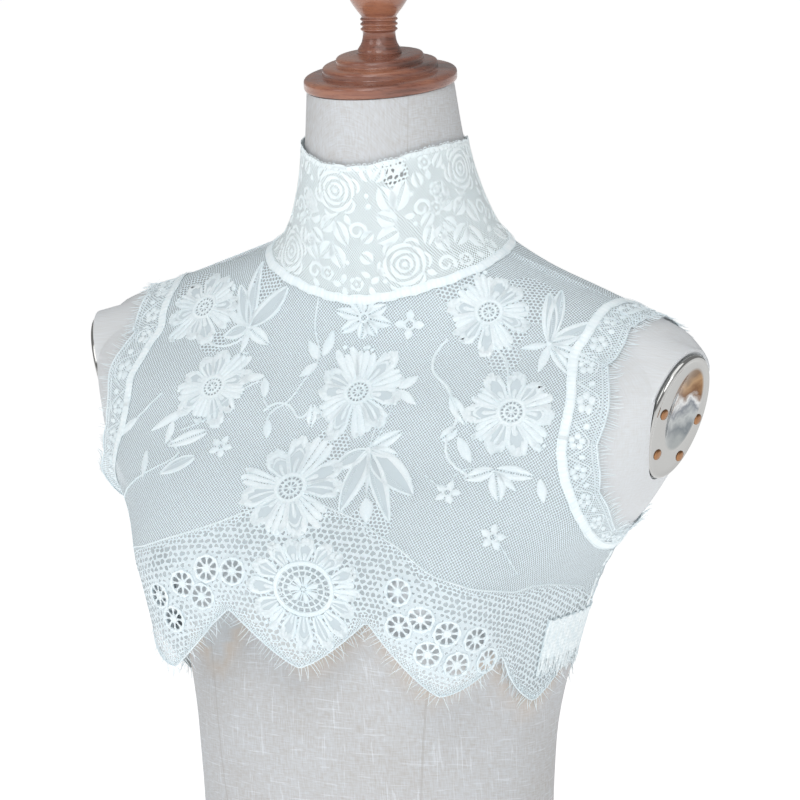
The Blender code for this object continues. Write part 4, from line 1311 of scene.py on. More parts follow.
def medallion(work, board, seed=3):
    """The large flower of a scallop: a star in a ring of round holes, and long petals with sheer windows."""
    chance = np.random.default_rng(seed)

    def centre(xy):
        return board(np.asarray(xy) * MEDAL_OVAL)
    work.band(centre(circle(MEDAL + .0012, 44)), .0032, .0008, True)
    work.band(centre(circle(MEDAL * .77, 36)), .0012, .0006, True)
    work.cord(centre(circle(MEDAL * .53, 30)), .0011, .0005, True)
    work.pad(centre(circle(.0012, 9)), .0008)
    rounded_bars(work, centre, 24, MEDAL * .77, MEDAL, .0011)
    rounded_bars(work, centre, 18, MEDAL * .53, MEDAL * .77, .0011, .1)
    for k in range(7):
        finger(work, ray(centre, tau * (k + .3) / 7), (0, .0022), (0, .0102), .0042)
        a = tau * (k + .8) / 7
        work.cord(centre(np.outer(np.linspace(.0012, MEDAL * .55, 4), (sin(a), cos(a)))), .0009, .0005)
    for k in range(16):
        turn = tau * (k + chance.uniform(-.12, .12)) / 16
        start = MEDAL * np.hypot(MEDAL_OVAL[0] * sin(turn), MEDAL_OVAL[1] * cos(turn)) + .0026
        long = (.0370 - .0020 * cos(turn)) * chance.uniform(.92, 1.06) - start
        petal(work, ray(board, turn, start), long, .0106 * chance.uniform(.85, 1.12),
              (0, 1, 3, 0, 2, 1)[k % 6], chance)


def dotted(work, board, path, wide=.0013, step=.0015):
    """Bars across a narrow slit, which leave a row of small holes."""
    path = np.asarray(path, float)
    run = np.concatenate([[0], np.cumsum(np.hypot(*np.diff(path, axis=0).T))])
    at = np.arange(step, run[-1] - step / 2, step)
    middle = np.stack([np.interp(at, run, path[:, k]) for k in (0, 1)], -1)
    way = np.gradient(path, axis=0)
    way = np.stack([np.interp(at, run, way[:, k]) for k in (0, 1)], -1)
    over = np.stack([-way[:, 1], way[:, 0]], -1) / np.hypot(way[:, 0], way[:, 1])[:, None]
    for p, q in zip(middle, over):
        work.cord(board(np.array([p - q * wide / 2, p + q * wide / 2])), .0007, .0005)


def leaf(work, board, root, tip, wide, kind="solid", bend=0.0, high=.0006):
    """Solid: two halves with a dotted vein. Open: a sheer window, bold on one side. Thin: one bundle."""
    root, tip = np.asarray(root, float), np.asarray(tip, float)
    long = np.hypot(*(tip - root))
    way = (tip - root) / long
    over = np.array([-way[1], way[0]])
    f = steps(11)
    spine = root + np.outer(f, tip - root) + np.outer(np.sin(pi * f) * bend, over)
    half = wide / 2 * np.sin(pi * np.clip(f, .02, .985) ** .85) ** .75
    if kind == "thin":
        work.band(board(spine), np.maximum(2 * half, .0005), high)
    elif kind == "solid":
        for side in (-1, 1):
            work.band(board(spine + over * side * (half / 2 + .0004)[:, None]),
                      np.maximum(half - .0002, .0003), high)
        if long > .010:
            dotted(work, board, spine[1:-1])
    else:
        loop = np.concatenate([spine + over * half[:, None], (spine - over * half[:, None])[-2:0:-1]])
        work.pad(board(loop), .0003, sheer=1)
        bold = np.clip(np.sin(pi * f), 0, 1)
        work.band(board(spine + over * half[:, None] * .80), .0012 + wide * .24 * bold, .0007)
        work.band(board(spine - over * half[:, None] * .92), .0013 + .0006 * bold, .0007)
        vein = spine - over * half[:, None] * .30
        work.cord(board(vein[1:-1]), .0007, .0006)
        dotted(work, board, vein[1:-1] - over * .0008, .0011, .0016)


def leaves(work, rows, high=.0006):
    """Leaves from rows of (root angle, root height, tip angle, tip height, width, kind)."""
    for a, h, b, g, wide, kind in rows:
        board, long = pointing((a, h), (b, g))
        leaf(work, board, (0, .0010), (0, long), wide, kind, high=high)


def stem(work, points, width=.0011):
    """A cord through (angle, height) points, rounded."""
    work.cord(rounded(points, 2), width, .0008)


def little_flower(work, board, r=.0028, petals=4, reach=.0062):
    work.band(board(circle(r, 12)), .0018, .0007, True)
    for k in range(petals):
        leaf(work, ray(board, tau * (k + .5) / petals, r * .8), (0, 0), (0, reach), reach * .75, "thin")


def spray(work, knot, tips):
    """Leaves round one knot; each tip is (angle, height, width, kind)."""
    work.pad(spot(*knot)(circle(.0020, 9)), .0008)
    leaves(work, [(*knot, *tip) for tip in tips])


# %% Thread finish
def thread_finish(name, low, high):
    made = Finish(name, Roughness=.72, Sheen_Weight=.2, Sheen_Roughness=.5, **LET_THROUGH)
    where = made.place()
    strands = made.noise(made.node("Mapping", {"vector_type": "POINT"}, where, None, None, (1, 1, 2.2)),
                         900, 3)
    bright = made.mix(made.span(strands * .6 + made.noise(where, 45, 2) * .4, .38, .62), low, high)
    made.feed("Base Color", made.mix(made.mark("sheer"), bright, (.58, .67, .715)))
    made.bump(strands, .55, .0005)
    return made


thread = thread_finish("white thread", (.71, .82, .87), (.84, .925, .96))
galloon_thread = thread_finish("galloon thread", (.80, .915, .95), (.89, .97, .995))

# %% The yoke's flowers
# leaves of the sprays: angle, height, width, kind
BUTTERFLY = [(-49, .556, .013, "open"), (-75, .567, .010, "open"), (-72, .552, .010, "open"),
             (-69, .537, .006, "thin"), (-62, .521, .009, "open"), (-46, .519, .009, "solid"),
             (-52, .512, .005, "thin")]
HANGING = [(33, .441, .017, "open"), (27, .426, .010, "open"), (20.5, .437, .003, "thin"),
           (13, .429, .013, "open"), (8, .452, .011, "open"), (32, .476, .009, "solid"), (30, .462, .008, "solid")]
SHOULDER = [(87, .557, .009, "open"), (92, .559, .009, "open"), (86, .541, .010, "open"),
            (80, .532, .007, "solid"), (78, .519, .008, "solid"), (73, .510, .007, "solid"),
            (69, .512, .006, "thin"), (70, .525, .005, "thin")]
# single leaves: root angle and height, tip angle and height, width, kind
SPRIGS = [(-15, .512, -27, .523, .007, "thin"), (-14, .514, -12, .531, .007, "thin"),
          (-15, .511, -21, .502, .0065, "thin"), (-25, .477, -22, .466, .006, "thin"),
          (-36, .501, -44, .498, .0065, "thin"), (-36, .500, -30, .489, .006, "thin"),
          (-8, .488, -6, .474, .007, "solid"), (31, .499, 40, .507, .007, "thin"),
          (31, .499, 37, .491, .006, "thin"),
          (48, .497, 49.5, .481, .008, "solid"), (47.5, .480, 42.5, .472, .008, "solid"),
          (47, .475, 48.5, .460, .007, "thin"), (53, .457, 46, .451, .009, "solid"),
          (53, .457, 60, .453, .009, "solid"), (53, .456, 52, .439, .010, "solid"),
          (61, .453, 61, .438, .006, "thin"),
          (53, .456, 56, .445, .005, "thin"), (-42, .467, -50, .456, .009, "solid"),
          (-40, .452, -46, .440, .009, "open"), (-52, .478, -57, .463, .006, "thin"),
          (-53, .471, -51, .457, .006, "thin"), (-55, .452, -51, .436, .006, "thin"),
          (-62, .470, -66, .455, .006, "thin"), (20.5, .438, 21, .424, .009, "thin")]
# width of a stem, and its (angle, height) points
STEMS = [(.0012, [(-27, .550), (-28, .540), (-26, .530), (-19, .520), (-15, .511), (-18, .500), (-19, .488),
                  (-26, .481), (-24, .470)]),
         (.0010, [(-49.4, .466), (-44, .474), (-43, .486), (-36, .501), (-31, .489), (-26, .482)]),
         (.0018, [(-28, .481), (-25, .487), (-18, .486), (-12, .477), (-7, .487), (2, .478)]),
         (.0020, [(54, .529), (47, .518), (45, .509), (48, .504), (48.5, .494), (48, .484), (44, .474),
                  (43, .461), (48, .451)]),
         (.0010, [(20, .464), (22, .477), (26, .490), (31, .499)]),
         (.0008, [(20, .464), (25, .476), (29, .492)]),
         (.0010, [(20, .464), (20.5, .437)]), (.0016, [(65, .528), (66, .519), (63, .508)]),
         (.0008, [(53.7, .456), (46, .458), (41, .444), (37, .452)]),
         (.0008, [(50, .419), (53, .405), (56, .395)]),
         (.0010, [(-51, .478), (-54, .466), (-49, .457), (-44, .452), (-52, .437), (-60, .420)]),
         (.0020, [(-69, .525), (-64, .516), (-58, .515), (-56, .524)]),
         (.0008, [(-52, .512), (-47, .505), (-44, .498)]), (.0009, [(-66, .455), (-62, .470), (-60, .486)])]
CLUSTER = [(-80, .017), (-35, .013), (15, .012), (60, .014), (100, .016), (-125, .015), (180, .011),
           (140, .012)]


def draw_flowers(work, mine, reach):
    for i, (a, h, size, turn, tall) in enumerate(DAISIES):
        if mine(a):
            daisy(work, spot(a, h, turn, size), 11, reach, i + 1, tall)
    for a, h, size in MEDALLIONS:
        if mine(a):
            medallion(work, spot(a, h, 0, size))


def draw_front(work):
    draw_flowers(work, lambda a: abs(a) < 90, .0300)
    spray(work, (-58, .528), BUTTERFLY)
    spray(work, (20, .464), HANGING)
    spray(work, (75, .528), SHOULDER)
    leaves(work, SPRIGS)
    for width, line in STEMS:
        stem(work, line, width)
    # a cluster of solid leaves over the centre, and the small flowers
    board = spot(10, .5395)
    for turn, long in CLUSTER:
        leaf(work, ray(board, radians(turn), .0030), (0, 0), (0, long), .0075, "solid")
    work.band(board(circle(.0028, 10)), .0018, .0007, True)
    little_flower(work, spot(39.4, .5366, 45), .0032, 4, .0072)
    for a, h in ((-35.2, .4588), (41.5, .4435), (49.5, .4190)):
        little_flower(work, spot(a, h, 20), .0026, 5)


def edging(work, low, high):
    """The scalloped edge: a cord along the hem, a zigzag inside it, and the cord over the border."""
    runs = np.linspace(low + .001, high - .001, int((high - low) / .0022))
    line = hem(runs)
    work.cord(aside(line, -.0006, False), .0011, .0009)
    work.cord(aside(line, -.0024 + .0015 * (-1.0) ** np.arange(len(line)), False), .0006, .0005)
    angles = angle_at(np.linspace(low + .002, high - .002, int((high - low) / .004)))
    work.cord(np.stack([angles, border(angles)], -1), .0012, .0008)


BACK_SPRAYS = [((145, .505), [(136, .528, .012, "open"), (146, .534, .010, "open"),
                              (155, .524, .009, "solid"), (154, .494, .008, "thin"), (137, .491, .008, "solid")]),
               ((172, .480), [(166, .497, .008, "solid"), (177, .496, .008, "solid"),
                              (171, .462, .007, "thin")])]
work = Work()
draw_front(work)
edging(work, *sorted(float(run_at(q)) for q in (-SEAM_ANGLE + .3, SEAM_ANGLE - .3)))
work.finish("front_flowers", thread, "lace")
for side, label in ((1, "left"), (-1, "right")):
    work = Work()
    draw_flowers(work, lambda a: a * side > 90, .0295)
    for knot, tips in BACK_SPRAYS:
        spray(work, (side * knot[0], knot[1]), [(side * q[0], *q[1:]) for q in tips])
    for a, h in ((126, .470), (148, .430), (112, .540), (171, .545)):
        little_flower(work, spot(side * a, h, 20), .0028, 5)
    for line in ([(170, .552), (166, .536), (158, .525), (150, .522)],
                 [(136, .446), (142, .462), (152, .472), (163, .470)]):
        stem(work, np.array(line) * (side, 1), .0012)
    edging(work, *sorted(float(run_at(side * q)) for q in (SEAM_ANGLE + .3, 179.6)))
    work.finish(f"back_flowers_{label}", thread, "lace")


# %% Ring flowers
def ring_flower():
    """One ring flower lying flat: a bevelled ring, a domed hub and eight spokes, each a closed solid."""
    hub = [[(r * cos(t), r * sin(t), z) for t in turns_of(10)] for r, z in ((.0030, 0), (.0025, .0007))]
    rim = []
    for t in turns_of(48):
        inner, outer = .0062 + .0010 * abs(sin(4 * t)) ** .7, .0088 + .0003 * cos(8 * t)
        rim.append([(r * cos(t), r * sin(t), z)
                    for r, z in ((inner, 0), (inner + .0003, .0007), (outer - .0004, .0007), (outer, 0))])
    solids = [rings_to_mesh(hub), rings_to_mesh(rim, True)]
    for t in turns_of(8):
        solids.append(rings_to_mesh([[(r * cos(t) - w * fat * sin(t), r * sin(t) + w * fat * cos(t), z)
                                      for w, z in ((-1, .0001), (0, .0006), (1, .0001))]
                                     for r, fat in ((.0021, .0012), (.0040, .00062), (.0052, .00062),
                                                    (.0068, .0014))]))
    points, faces = [], []
    for some_points, some_faces in solids:
        faces += [tuple(i + len(points) for i in f) for f in some_faces]
        points += some_points
    return closed_mesh("ring flower", points, faces)


for label, low, high in (("front", -SEAM_ANGLE, SEAM_ANGLE), ("left", SEAM_ANGLE, 180),
                         ("right", -180, -SEAM_ANGLE)):
    here = np.array([q for q in ring_spots if low < q[0] < high])
    n = normal(np.radians(here[:, 0]), here[:, 1])
    copies(f"ring_flowers_{label}", ON_SPOTS, ring_flower(), lay(here, WORK), n, upright(n), thread, "lace")

# %% [markdown]
# ## Rows along an edge
#
# Eyelashes, picots and stitches sit at even steps along an edge, all drawn by the second of the two trees. An
# edge is a line of points on the surface, with the direction out of the cloth and the one away from the edge.


# %% Rows
def row(name, unit, edges, finish, slot, **settings):
    """Copies of a small mesh along edges; an edge is (points, outward, away, closed)."""
    points, outward, away, links = [], [], [], []
    for p, n, w, closed in edges:
        start, m = len(points), len(p)
        points += list(p)
        outward += list(n)
        away += list(w)
        links += [(start + i, start + (i + 1) % m) for i in range(m if closed else m - 1)]
    return copies(name, ALONG_EDGE, unit, points, away, outward, finish, slot, links, **settings)


def edge_of(curve, lift, side=1, closed=False):
    """An edge for a row: the copies point to the right of the curve (side 1) or to its left."""
    base, n, s = on_surface(curve, closed, lift)
    return base, n, s * side, closed


def lash(long=.0072, thick=.00020):
    """One eyelash: a thin thread that tapers and curls a little outwards."""
    shape = ((thick, -.08, 0), (thick * 1.1, .35, .0002), (thick * .8, .75, .0007), (thick * .3, 1, .0015))
    rings = [[(r * cos(t) + bend, r * sin(t), z * long) for t in turns_of(3)] for r, z, bend in shape]
    return closed_mesh("lash", *rings_to_mesh(rings))


def stitch(long=.0015, fat=.00022):
    rings = [[(fat * k * cos(t), y * long, fat * k * sin(t)) for t in turns_of(5)]
             for k, y in ((.4, -.5), (1, -.36), (1, .36), (.4, .5))]
    return closed_mesh("stitch", *rings_to_mesh(rings))


def picot(r=.0011, thick=.00024):
    """A small loop of thread standing on an edge."""
    rings = [[(thick * cos(q), (r + thick * sin(q)) * cos(a), (r + thick * sin(q)) * sin(a))
              for q in turns_of(4)]
             for a in np.linspace(-.25, pi + .25, 9)]
    return closed_mesh("picot", *rings_to_mesh(rings))


# %% [markdown]
# ## Strips: collar, tapes and edgings
#
# A strip is rows of points along an edge. The tapes are soft folded bands with rounded edges, a little uneven
# as hand-guided sewing leaves them. The collar and the armhole edgings are net like the yoke.

# %% Strips
# a narrower tape is one of 12 mm with its sides folded under
NARROWEST = .012


def strip(name, rows_, lifts, thicks, closed, finish, slot, node, marks_=None):
    count = len(rows_[0])
    flat = np.concatenate(rows_)
    lift, thick = (np.concatenate([np.broadcast_to(np.asarray(q, float), count) for q in part])
                   for part in (lifts, thicks))
    faces = grid_faces(len(rows_), count, closed)
    real = lay(flat, lift).reshape(len(rows_), count, 3)
    along = np.concatenate([[0], np.cumsum(np.linalg.norm(np.diff(real.mean(0), axis=0), axis=1))])
    over = np.concatenate([[0], np.cumsum(np.linalg.norm(np.diff(real, axis=0), axis=2).mean(1))])
    uv = np.stack([np.tile(along, len(rows_)), np.repeat(over, count)], -1)
    made = sheet_mesh(name, flat, faces, lift, thick, finish, slot, uv, marks_(flat) if marks_ else None)
    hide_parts(node)
    area = sum(p.area for p in made.data.polygons) / 2
    long = along[-1] + (np.linalg.norm(real.mean(0)[0] - real.mean(0)[-1]) if closed else 0)
    wide = max(float(over[-1]), NARROWEST)
    CUT[name] = (made, [wide, float(long)], min(float(area), float(wide * long)))
    return made


tape = Finish("tape", Roughness=.68, Sheen_Weight=.2)
u, v = tape.cloth()
rib = abs((u * 950).maths("SINE")) * .5 + tape.weave(u * 700, v * 250, 3)
crinkle = tape.weave(u * 160, v * 90, 3)
tape.feed("Base Color", tape.mix(tape.span(crinkle * .7 + rib * .3, .3, .75),
                                 (.72, .82, .86), (.88, .945, .965)))
tape.bump(rib * .5 + crinkle, .6, .0006)


def tape_rows(line, half, closed, crumple=1.0):
    """Seven rows across a folded tape: thin at its edges, full in its middle, a little uneven."""
    n = len(line)
    q = turns_of(n)
    sway = .00035 * crumple * (np.sin(23 * q) + .6 * np.sin(57 * q + 1))
    rows_, lifts, thicks = [], [], []
    for s in np.linspace(-1, 1, 7):
        rows_.append(aside(line, -s * half + sway, closed))
        lifts.append(np.full(n, TAPE_LIFT - .0001))
        thicks.append(.0004 + .0003 * (1 - s * s) + .00022 * crumple * np.sin(61 * q + 2 * s) * (1 - s * s))
    return rows_, lifts, thicks


# %% Tapes of the neck and the armholes
seam_run = np.linspace(-179.75, 179.75, 241)
seam_line = np.stack([seam_run, neck_line(seam_run)], -1)
strip("neck_tape_folded", *tape_rows(seam_line, .0030, False), False, tape, "tape", "neck_tape")
ARMHOLE_LINE = {}
for side, label in ((1, "left"), (-1, "right")):
    ring = aside(armhole(-turns_of(220)), -.0015)
    if side < 0:
        ring = mirrored(ring)[::-1]
    ARMHOLE_LINE[label] = ring
    strip(f"armhole_tape_folded_{label}", *tape_rows(ring, .0030, True, .5), True, tape, "tape",
          f"armhole_tape_{label}")
print("tapes done")

# %% [markdown]
# ## The stand collar
#
# The collar is a straight strip of rose galloon: roses of overlapping crescents, veined leaves and curls, so
# close together that little net shows between them. The pattern repeats four times round.

# %% Galloon
galloon = net_finish("galloon net", (.82, .925, .955), .0016, .80, .0026, .27, .07)


def on_collar(angle, height):
    """The collar's pattern hangs from its top edge: heights are those of the front."""
    return np.array([(angle + 180) % 360 - 180, height + collar_top(angle) - .6348])


def collar_share(flat):
    foot = neck_line(flat[:, 0]) + .0003
    return np.clip((flat[:, 1] - foot) / (collar_top(flat[:, 0]) - foot), 0, 1)


def collar_over(flat):
    return .0014 * collar_share(flat) ** 2


def collar_marks(flat):
    a = (flat[:, 0] + 180) % 360 - 180
    flat_ = np.stack([a, flat[:, 1]], -1)
    return {"open": near(flat_, [on_collar(29.5 + q, .6250) for q in (-180, -90, 0, 90)], .0120),
            "solid": .10 + .60 * np.clip((collar_share(flat) - .94) / .04, 0, 1)}


around = np.linspace(-179.84, 179.84, 241)
foot = neck_line(around) + .0003
rows_, lifts = [], []
for f in np.linspace(0, 1, 22):
    h = foot + (collar_top(around) - foot + .0010 * np.abs(np.sin(np.radians(around) * 12)) - .0012) * f
    rows_.append(np.stack([around, h], -1))
    lifts.append(NET_LIFT + collar_over(rows_[-1]))
strip("collar_net", rows_, lifts, [.0004] * 22, False, galloon, "galloon", "collar_band", collar_marks)


def crescent(work, board, r, turn, wide, reach, middle=(0, 0)):
    f = steps(10)
    t = turn + (f - .5) * reach
    work.band(board(np.stack([middle[0] + r * np.cos(t), middle[1] + r * np.sin(t)], -1)),
              np.maximum(wide * np.sin(pi * np.clip(f, .04, .96)) ** .40, .0006), FLAT)


def rose(work, board):
    """Crescents round a bud, ring on ring, with a thin line of net left between them."""
    work.pad(board(circle(.0021, 10)), FLAT)
    for r, wide, count, start in ((.0045, .0030, 2, .6), (.0082, .0033, 3, 0), (.0122, .0036, 4, .4)):
        for k in range(count):
            crescent(work, board, r, start + tau * k / count, wide, tau / count * .97)
    for k in range(6):
        a = tau * k / 6 + .2
        crescent(work, board, .0052, a + .2, .0030, 2.3, (.0112 * cos(a), .0112 * sin(a)))


def small_rose(work, board):
    work.pad(board(circle(.0013, 9)), FLAT)
    for k in range(5):
        crescent(work, board, .0037, tau * k / 5, .0032, tau / 5 * .94)


def curl(work, board, flip=1):
    f = steps(18)
    t = -.4 + f * 2.3 * pi
    r = .0062 - .0046 * f
    work.band(board(np.stack([flip * r * np.cos(t), r * np.sin(t)], -1)), .0036 * (1 - .40 * f), FLAT)


FLAT = .00035                                     # galloon is flatter than the yoke's flowers
# one repeat of the pattern: root angle and height, tip angle and height, width
COLLAR_LEAVES = [(-9, .601, -20, .591, .0095), (-8, .600, -1, .585, .0090), (-12, .585, -23, .573, .0100),
                 (-12, .584, -6, .570, .0100), (29, .601, 21, .619, .0105), (30, .601, 36, .619, .0105),
                 (32, .594, 19, .602, .0100), (33, .589, 19, .585, .0100), (60, .599, 61, .613, .0090),
                 (60, .596, 70, .601, .0090), (61, .589, 70, .583, .0085), (56, .581, 63, .570, .0080),
                 (15, .623, 11, .634, .0070), (17, .622, 23, .630, .0060), (46, .611, 42, .622, .0070),
                 (53, .588, 50, .575, .0070), (47, .586, 55, .596, .0065), (8, .580, 16, .573, .0080),
                 (9, .586, 17, .592, .0060), (-28, .586, -34, .576, .0070), (-29, .610, -24, .600, .0070),
                 (56, .621, 62, .630, .0070)]
# angle, height, motif, how much room it needs
COLLAR_MOTIFS = [(-7, .6185, rose, .015), (37, .5665, rose, .009), (4.2, .5605, small_rose, .005),
                 (57, .6085, small_rose, .005), (48.5, .6265, small_rose, .005),
                 (-33, .5970, small_rose, .005),
                 (47, .5985, curl, .006), (6.5, .5935, curl, .006), (60.5, .5620, curl, .006),
                 (-19, .5640, small_rose, .005)]
COLLAR_STEMS = [[(34, .582), (31, .594), (29, .606)], [(-7, .604), (-9, .594), (-13, .580)],
                [(66, .566), (59, .584), (60, .602)]]
# angle, height, radius
COLLAR_BUDS = [(22, .566, .0024), (25, .559, .0018), (-2, .574, .0018), (57, .577, .0022), (14, .608, .0022),
               (13, .615, .0018), (72, .613, .0020), (64, .621, .0022), (43, .590, .0020), (40, .609, .0020),
               (25, .592, .0012), (-16, .598, .0016)]


def draw_collar(work):
    def clear(place, r):
        return place[1] > neck_line(place[0]) + r and abs(place[0]) < 180 - r * 1000
    for q in (0, 90, 180, 270):
        for a, h, motif, r in COLLAR_MOTIFS:
            place = on_collar(a + q, h)
            if clear(place, r):
                motif(work, spot(*place))
        for a, h, b, g, wide in COLLAR_LEAVES:
            root, tip = on_collar(a + q, h), on_collar(b + q, g)
            if clear(root, .002) and clear(tip, .002) and abs(root[0] - tip[0]) < 60:
                leaves(work, [(*root, *tip, wide * 1.25, "solid")], FLAT)
        for points in COLLAR_STEMS:
            line = np.array([on_collar(a + q, h) for a, h in points])
            if all(clear(p, .002) for p in line) and np.ptp(line[:, 0]) < 60:
                work.cord(rounded(line, 2), .0012, FLAT)
        for a, h, r in COLLAR_BUDS:
            place = on_collar(a + q, h)
            if clear(place, r):
                work.pad(spot(*place)(circle(r, 9)), FLAT)
    for a in np.arange(-177.5, 178, 4.3):
        work.pad(spot(a, collar_top(a) - .0022)(circle(.0021, 9)), FLAT)
    # buds wherever the ground is still bare
    chance = np.random.default_rng(8)
    drawn = np.concatenate(work.points)
    for share in np.linspace(.08, .90, 11):
        for a in np.linspace(-176, 176, 63) + chance.uniform(-1.5, 1.5, 63):
            place = a, neck_line(a) + (collar_top(a) - neck_line(a)) * (share + chance.uniform(-.03, .03))
            if np.linalg.norm(drawn - lay([place], WORK)[0], axis=1).min() > .0030:
                board = spot(*place, chance.uniform(0, 360))
                leaf(work, board, (0, -.0032), (0, .0036), .0056, "thin", high=FLAT)
                drawn = np.concatenate([drawn, board(circle(.0022, 8))])


def inside_collar(flat):
    low, high = neck_line(flat[:, 0]) + .0016, collar_top(flat[:, 0]) - .0008
    angle = np.clip(flat[:, 0], -179.6, 179.6) if np.ptp(flat[:, 0]) < 90 else flat[:, 0]
    return np.stack([angle, np.clip(flat[:, 1], low, high)], -1)


work = Work(collar_over, inside_collar)
draw_collar(work)
work.finish("collar_roses", galloon_thread, "galloon")
top = edge_of(rows_[-1][1:-1][::-1], lifts[-1][1:-1][::-1] + .0002)
row("collar_picots", picot(), [top], galloon_thread, "galloon", Step=.0034, Unevenness=.12, Sway=.15, Seed=5)

# %% Buttons at the centre back
satin = Finish("covered button", Roughness=.45, Sheen_Weight=.3)
satin.feed("Base Color", satin.mix(satin.noise(satin.place(), 400, 3), (.82, .87, .89), (.92, .95, .96)))
BUTTON = rounded([(.0024, 0), (.0034, .0001), (.0038, .0010), (.0037, .0018), (.0029, .0029), (.0015, .0034),
                  (.0003, .0035)])
for i, share in enumerate((.20, .50, .80)):
    height = neck_line(180) + (collar_top(180) - neck_line(180)) * share
    n = normal(np.array([pi]), np.array([height]))[0]
    base, across_ = lay([(180, height)], .0030)[0], upright(n)
    upward_ = np.cross(n, across_)
    rings = [[base + n * rise + (across_ * cos(q) + upward_ * sin(q)) * r for q in turns_of(28)]
             for r, rise in BUTTON]
    button = put(f"covered_button_{i + 1}", *rings_to_mesh(rings), satin, "button")
    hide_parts(f"collar_button_{i + 1}")
print("buttons:", i + 1)

# %% [markdown]
# ## Armhole edgings
#
# Each armhole has a scalloped edging of the same net, about 24 mm deep, that lies on the linen towards the
# arm. Under the form's right arm it stands away a little. It has its own cords, small flowers and eyelashes.


# %% Edgings
def edging_place(t, share, side):
    """(angle, height) and lift on an edging: t round the armhole, share 0 at the tape to 1 outside."""
    t, share = np.broadcast_arrays(np.asarray(t, float), np.asarray(share, float))
    width = .0225 + .0022 * np.abs(np.sin(5.5 * t)) - .0095 * np.maximum(0, -np.sin(t)) ** 2
    base, way = lay(armhole(t), 0), lay(armhole(t - .01), 0) - lay(armhole(t + .01), 0)
    s = np.cross(way, normal(np.radians(armhole(t)[:, 0]), armhole(t)[:, 1]))
    s /= np.linalg.norm(s, axis=1, keepdims=True)
    place_ = settle(base - s * (.0006 + share * width)[:, None])
    stand = .011 * np.exp(-((((t + 1.05) + pi) % tau - pi) / .42) ** 2) if side < 0 else 0 * t
    lift = ((.0004 + stand) * np.maximum(0, (share - .36) / .64) ** 1.2
            + .0005 * share * (1 + np.sin(17 * t + 2)))
    if side < 0:
        place_ = mirrored(place_)
    return place_, lift


def edging_marks(flat):
    rows = np.interp(np.arange(9), [0, 1, 7, 8], [.6, .25, .1, .5])
    return {"open": np.zeros(len(flat)), "solid": np.repeat(rows, len(flat) // 9)}


def draw_edging(work, side):
    def along(ts, shares, width, high, closed=False, sweep=work.cord):
        flat, lift = edging_place(ts, shares, side)
        sweep(flat, width, high, closed, WORK + lift)

    def pad(ts, shares, high):
        flat, lift = edging_place(ts, shares, side)
        work.pad(flat, high, WORK + lift)
    for share, width, high in ((.05, .0010, .0005), (.965, .0011, .0006), (.82, .0007, .0004)):
        along(-turns_of(300), np.full(300, share), width, high, closed=True)
    q, p, f, half = turns_of(9), turns_of(8), steps(13), pi / 22
    for a in -turns_of(22):
        along(a + (f - .5) * 2 * half, .20 + .55 * np.sin(pi * f), .0009, .0004, sweep=work.band)
        for turn in turns_of(5):
            pad(a + .047 * cos(turn) + .030 * np.cos(q), .42 + .15 * sin(turn) + .095 * np.sin(q), .0005)
        for j in range(3):
            along(np.full(3, a + (j - 1) * half * .6), .82 + .13 * steps(3), .0006, .0004)
        pad(a + half + .028 * np.cos(p), .56 + .10 * np.sin(p), .0006)


TRIM = {}
for side, label in ((1, "left"), (-1, "right")):
    rows_, lifts = [], []
    for share in np.linspace(0, 1, 9):
        place_, lift = edging_place(-turns_of(240), np.full(240, share), side)
        rows_.append(place_ if side > 0 else place_[::-1])
        lifts.append((lift if side > 0 else lift[::-1]) + NET_LIFT)
    strip(f"armhole_edging_{label}", rows_, lifts, [NET_THICK] * 9, True, net, "lace",
          f"armhole_trim_{label}", edging_marks)
    TRIM[label] = (rows_[-1], lifts[-1])
    work = Work()
    draw_edging(work, side)
    work.finish(f"edging_work_{label}", thread, "lace")

# %% [markdown]
# ## Side seams and elastics
#
# Under each arm a folded tape runs down the side seam to a tab of shirred elastic. The gathers are real
# folds: the tab is a fine sheet whose height over the cloth rises and falls along its length. Its lower
# edge is frayed: there the finish lets only loose threads show.

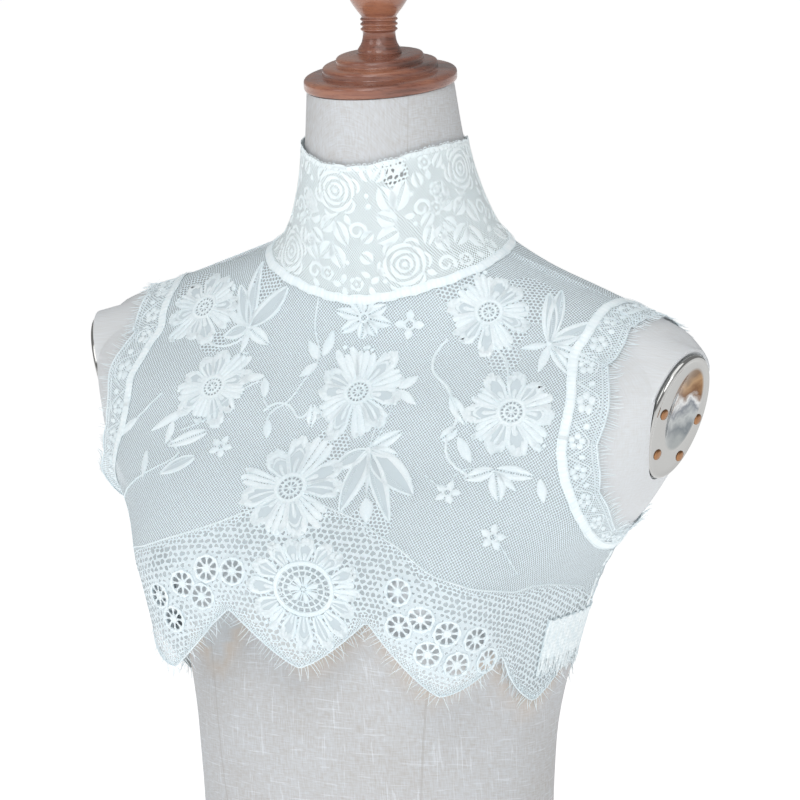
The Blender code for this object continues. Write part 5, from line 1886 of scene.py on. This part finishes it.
# %% Sides
FRAYED = .0175                                    # below this the weave is cut and only loose threads hang
elastic = Finish("shirred elastic", Roughness=.7, Sheen_Weight=.2)
u, v = elastic.cloth()
puff = elastic.weave(u * 420, v * 210, 4)
elastic.feed("Base Color", elastic.mix(elastic.span(puff, .35, .65), (.72, .82, .86), (.88, .945, .965)))
whole, loose = v > FRAYED, elastic.weave(u * 1300, v * 45) > .41
elastic.feed("Alpha", whole + (1 - whole) * loose * (v > elastic.weave(u * 420, v * 8) * .030 - .008))
elastic.bump(puff + abs((v * 1300).maths("SINE")) * .3, .8, .0008)
for side, label in ((1, "left"), (-1, "right")):
    line = np.stack([np.full(24, float(SEAM_ANGLE)), np.linspace(.3965, .3603, 24)], -1)
    rows_, lifts, thicks = tape_rows(line, .0033, False)
    if side < 0:
        rows_ = [mirrored(q)[::-1] for q in rows_]
    strip(f"side_tape_folded_{label}", rows_, lifts, thicks, False, tape, "tape", f"side_tape_{label}")
    angles = np.linspace(SEAM_ANGLE - 22.9, SEAM_ANGLE + 22.9, 150)
    rows_, lifts, thicks = [], [], []
    for f in np.linspace(0, 1, 19):
        z = .3166 + (.3590 - .3166) * f + .0006 * np.sin(angles * 1.9) * (2 * f - 1)
        gather = .5 + .5 * np.sin(angles * 3.1 + 2.2 * np.sin(5 * f) + np.sin(angles * .7))
        rows_.append(np.stack([angles, z], -1))
        lifts.append(TAPE_LIFT - .0001 + 0 * angles)
        crest = .0005 if f in (0, 1) or abs(f - .5) > .44 else 0
        thicks.append(.0006 + .0006 * gather * np.sin(pi * np.clip(f, .02, .98)) ** .3 + crest)
    if side < 0:
        rows_ = [mirrored(q)[::-1] for q in rows_]
        thicks = [q[::-1] for q in thicks]
    strip(f"side_elastic_shirred_{label}", rows_, lifts, thicks, False, elastic, "tape",
          f"side_elastic_{label}")

# %% Stitches and eyelashes
edges = []
for across_tape in (-.0022, .0022):
    for label in ("left", "right"):
        edges.append(edge_of(aside(ARMHOLE_LINE[label], across_tape), TAPE_LIFT + .0009, 1, True))
    edges.append(edge_of(aside(seam_line, across_tape, False), TAPE_LIFT + .0009))
row("tape_stitches", stitch(), edges, thread, "tape", Step=.0026, Unevenness=.1, Sway=.12, Seed=7)

for label, low, high in (("front", -SEAM_ANGLE + .4, SEAM_ANGLE - .4), ("back_left", SEAM_ANGLE + .4, 179.6),
                         ("back_right", -179.6, -SEAM_ANGLE - .4)):
    line = edge_of(hem_points(float(run_at(low)), float(run_at(high)), .002), NET_LIFT + .0002)
    made = row(f"hem_lashes_{label}", lash(), [line], thread, "lace",
               Step=.0023, Unevenness=.38, Sway=.42, Seed=11)
    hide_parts(f"hem_fringe_{label}")
for label, (line, lift) in TRIM.items():
    made = row(f"edging_lashes_{label}", lash(.0068, .00022), [edge_of(line, lift + .0002, -1, True)],
               thread, "lace", Step=.0017, Unevenness=.35, Sway=.22, Seed=13)
    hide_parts(f"trim_fringe_{label}")

# %% The end
for made, size, area in CUT.values():
    max(.3001 * size[0] * size[1], area)
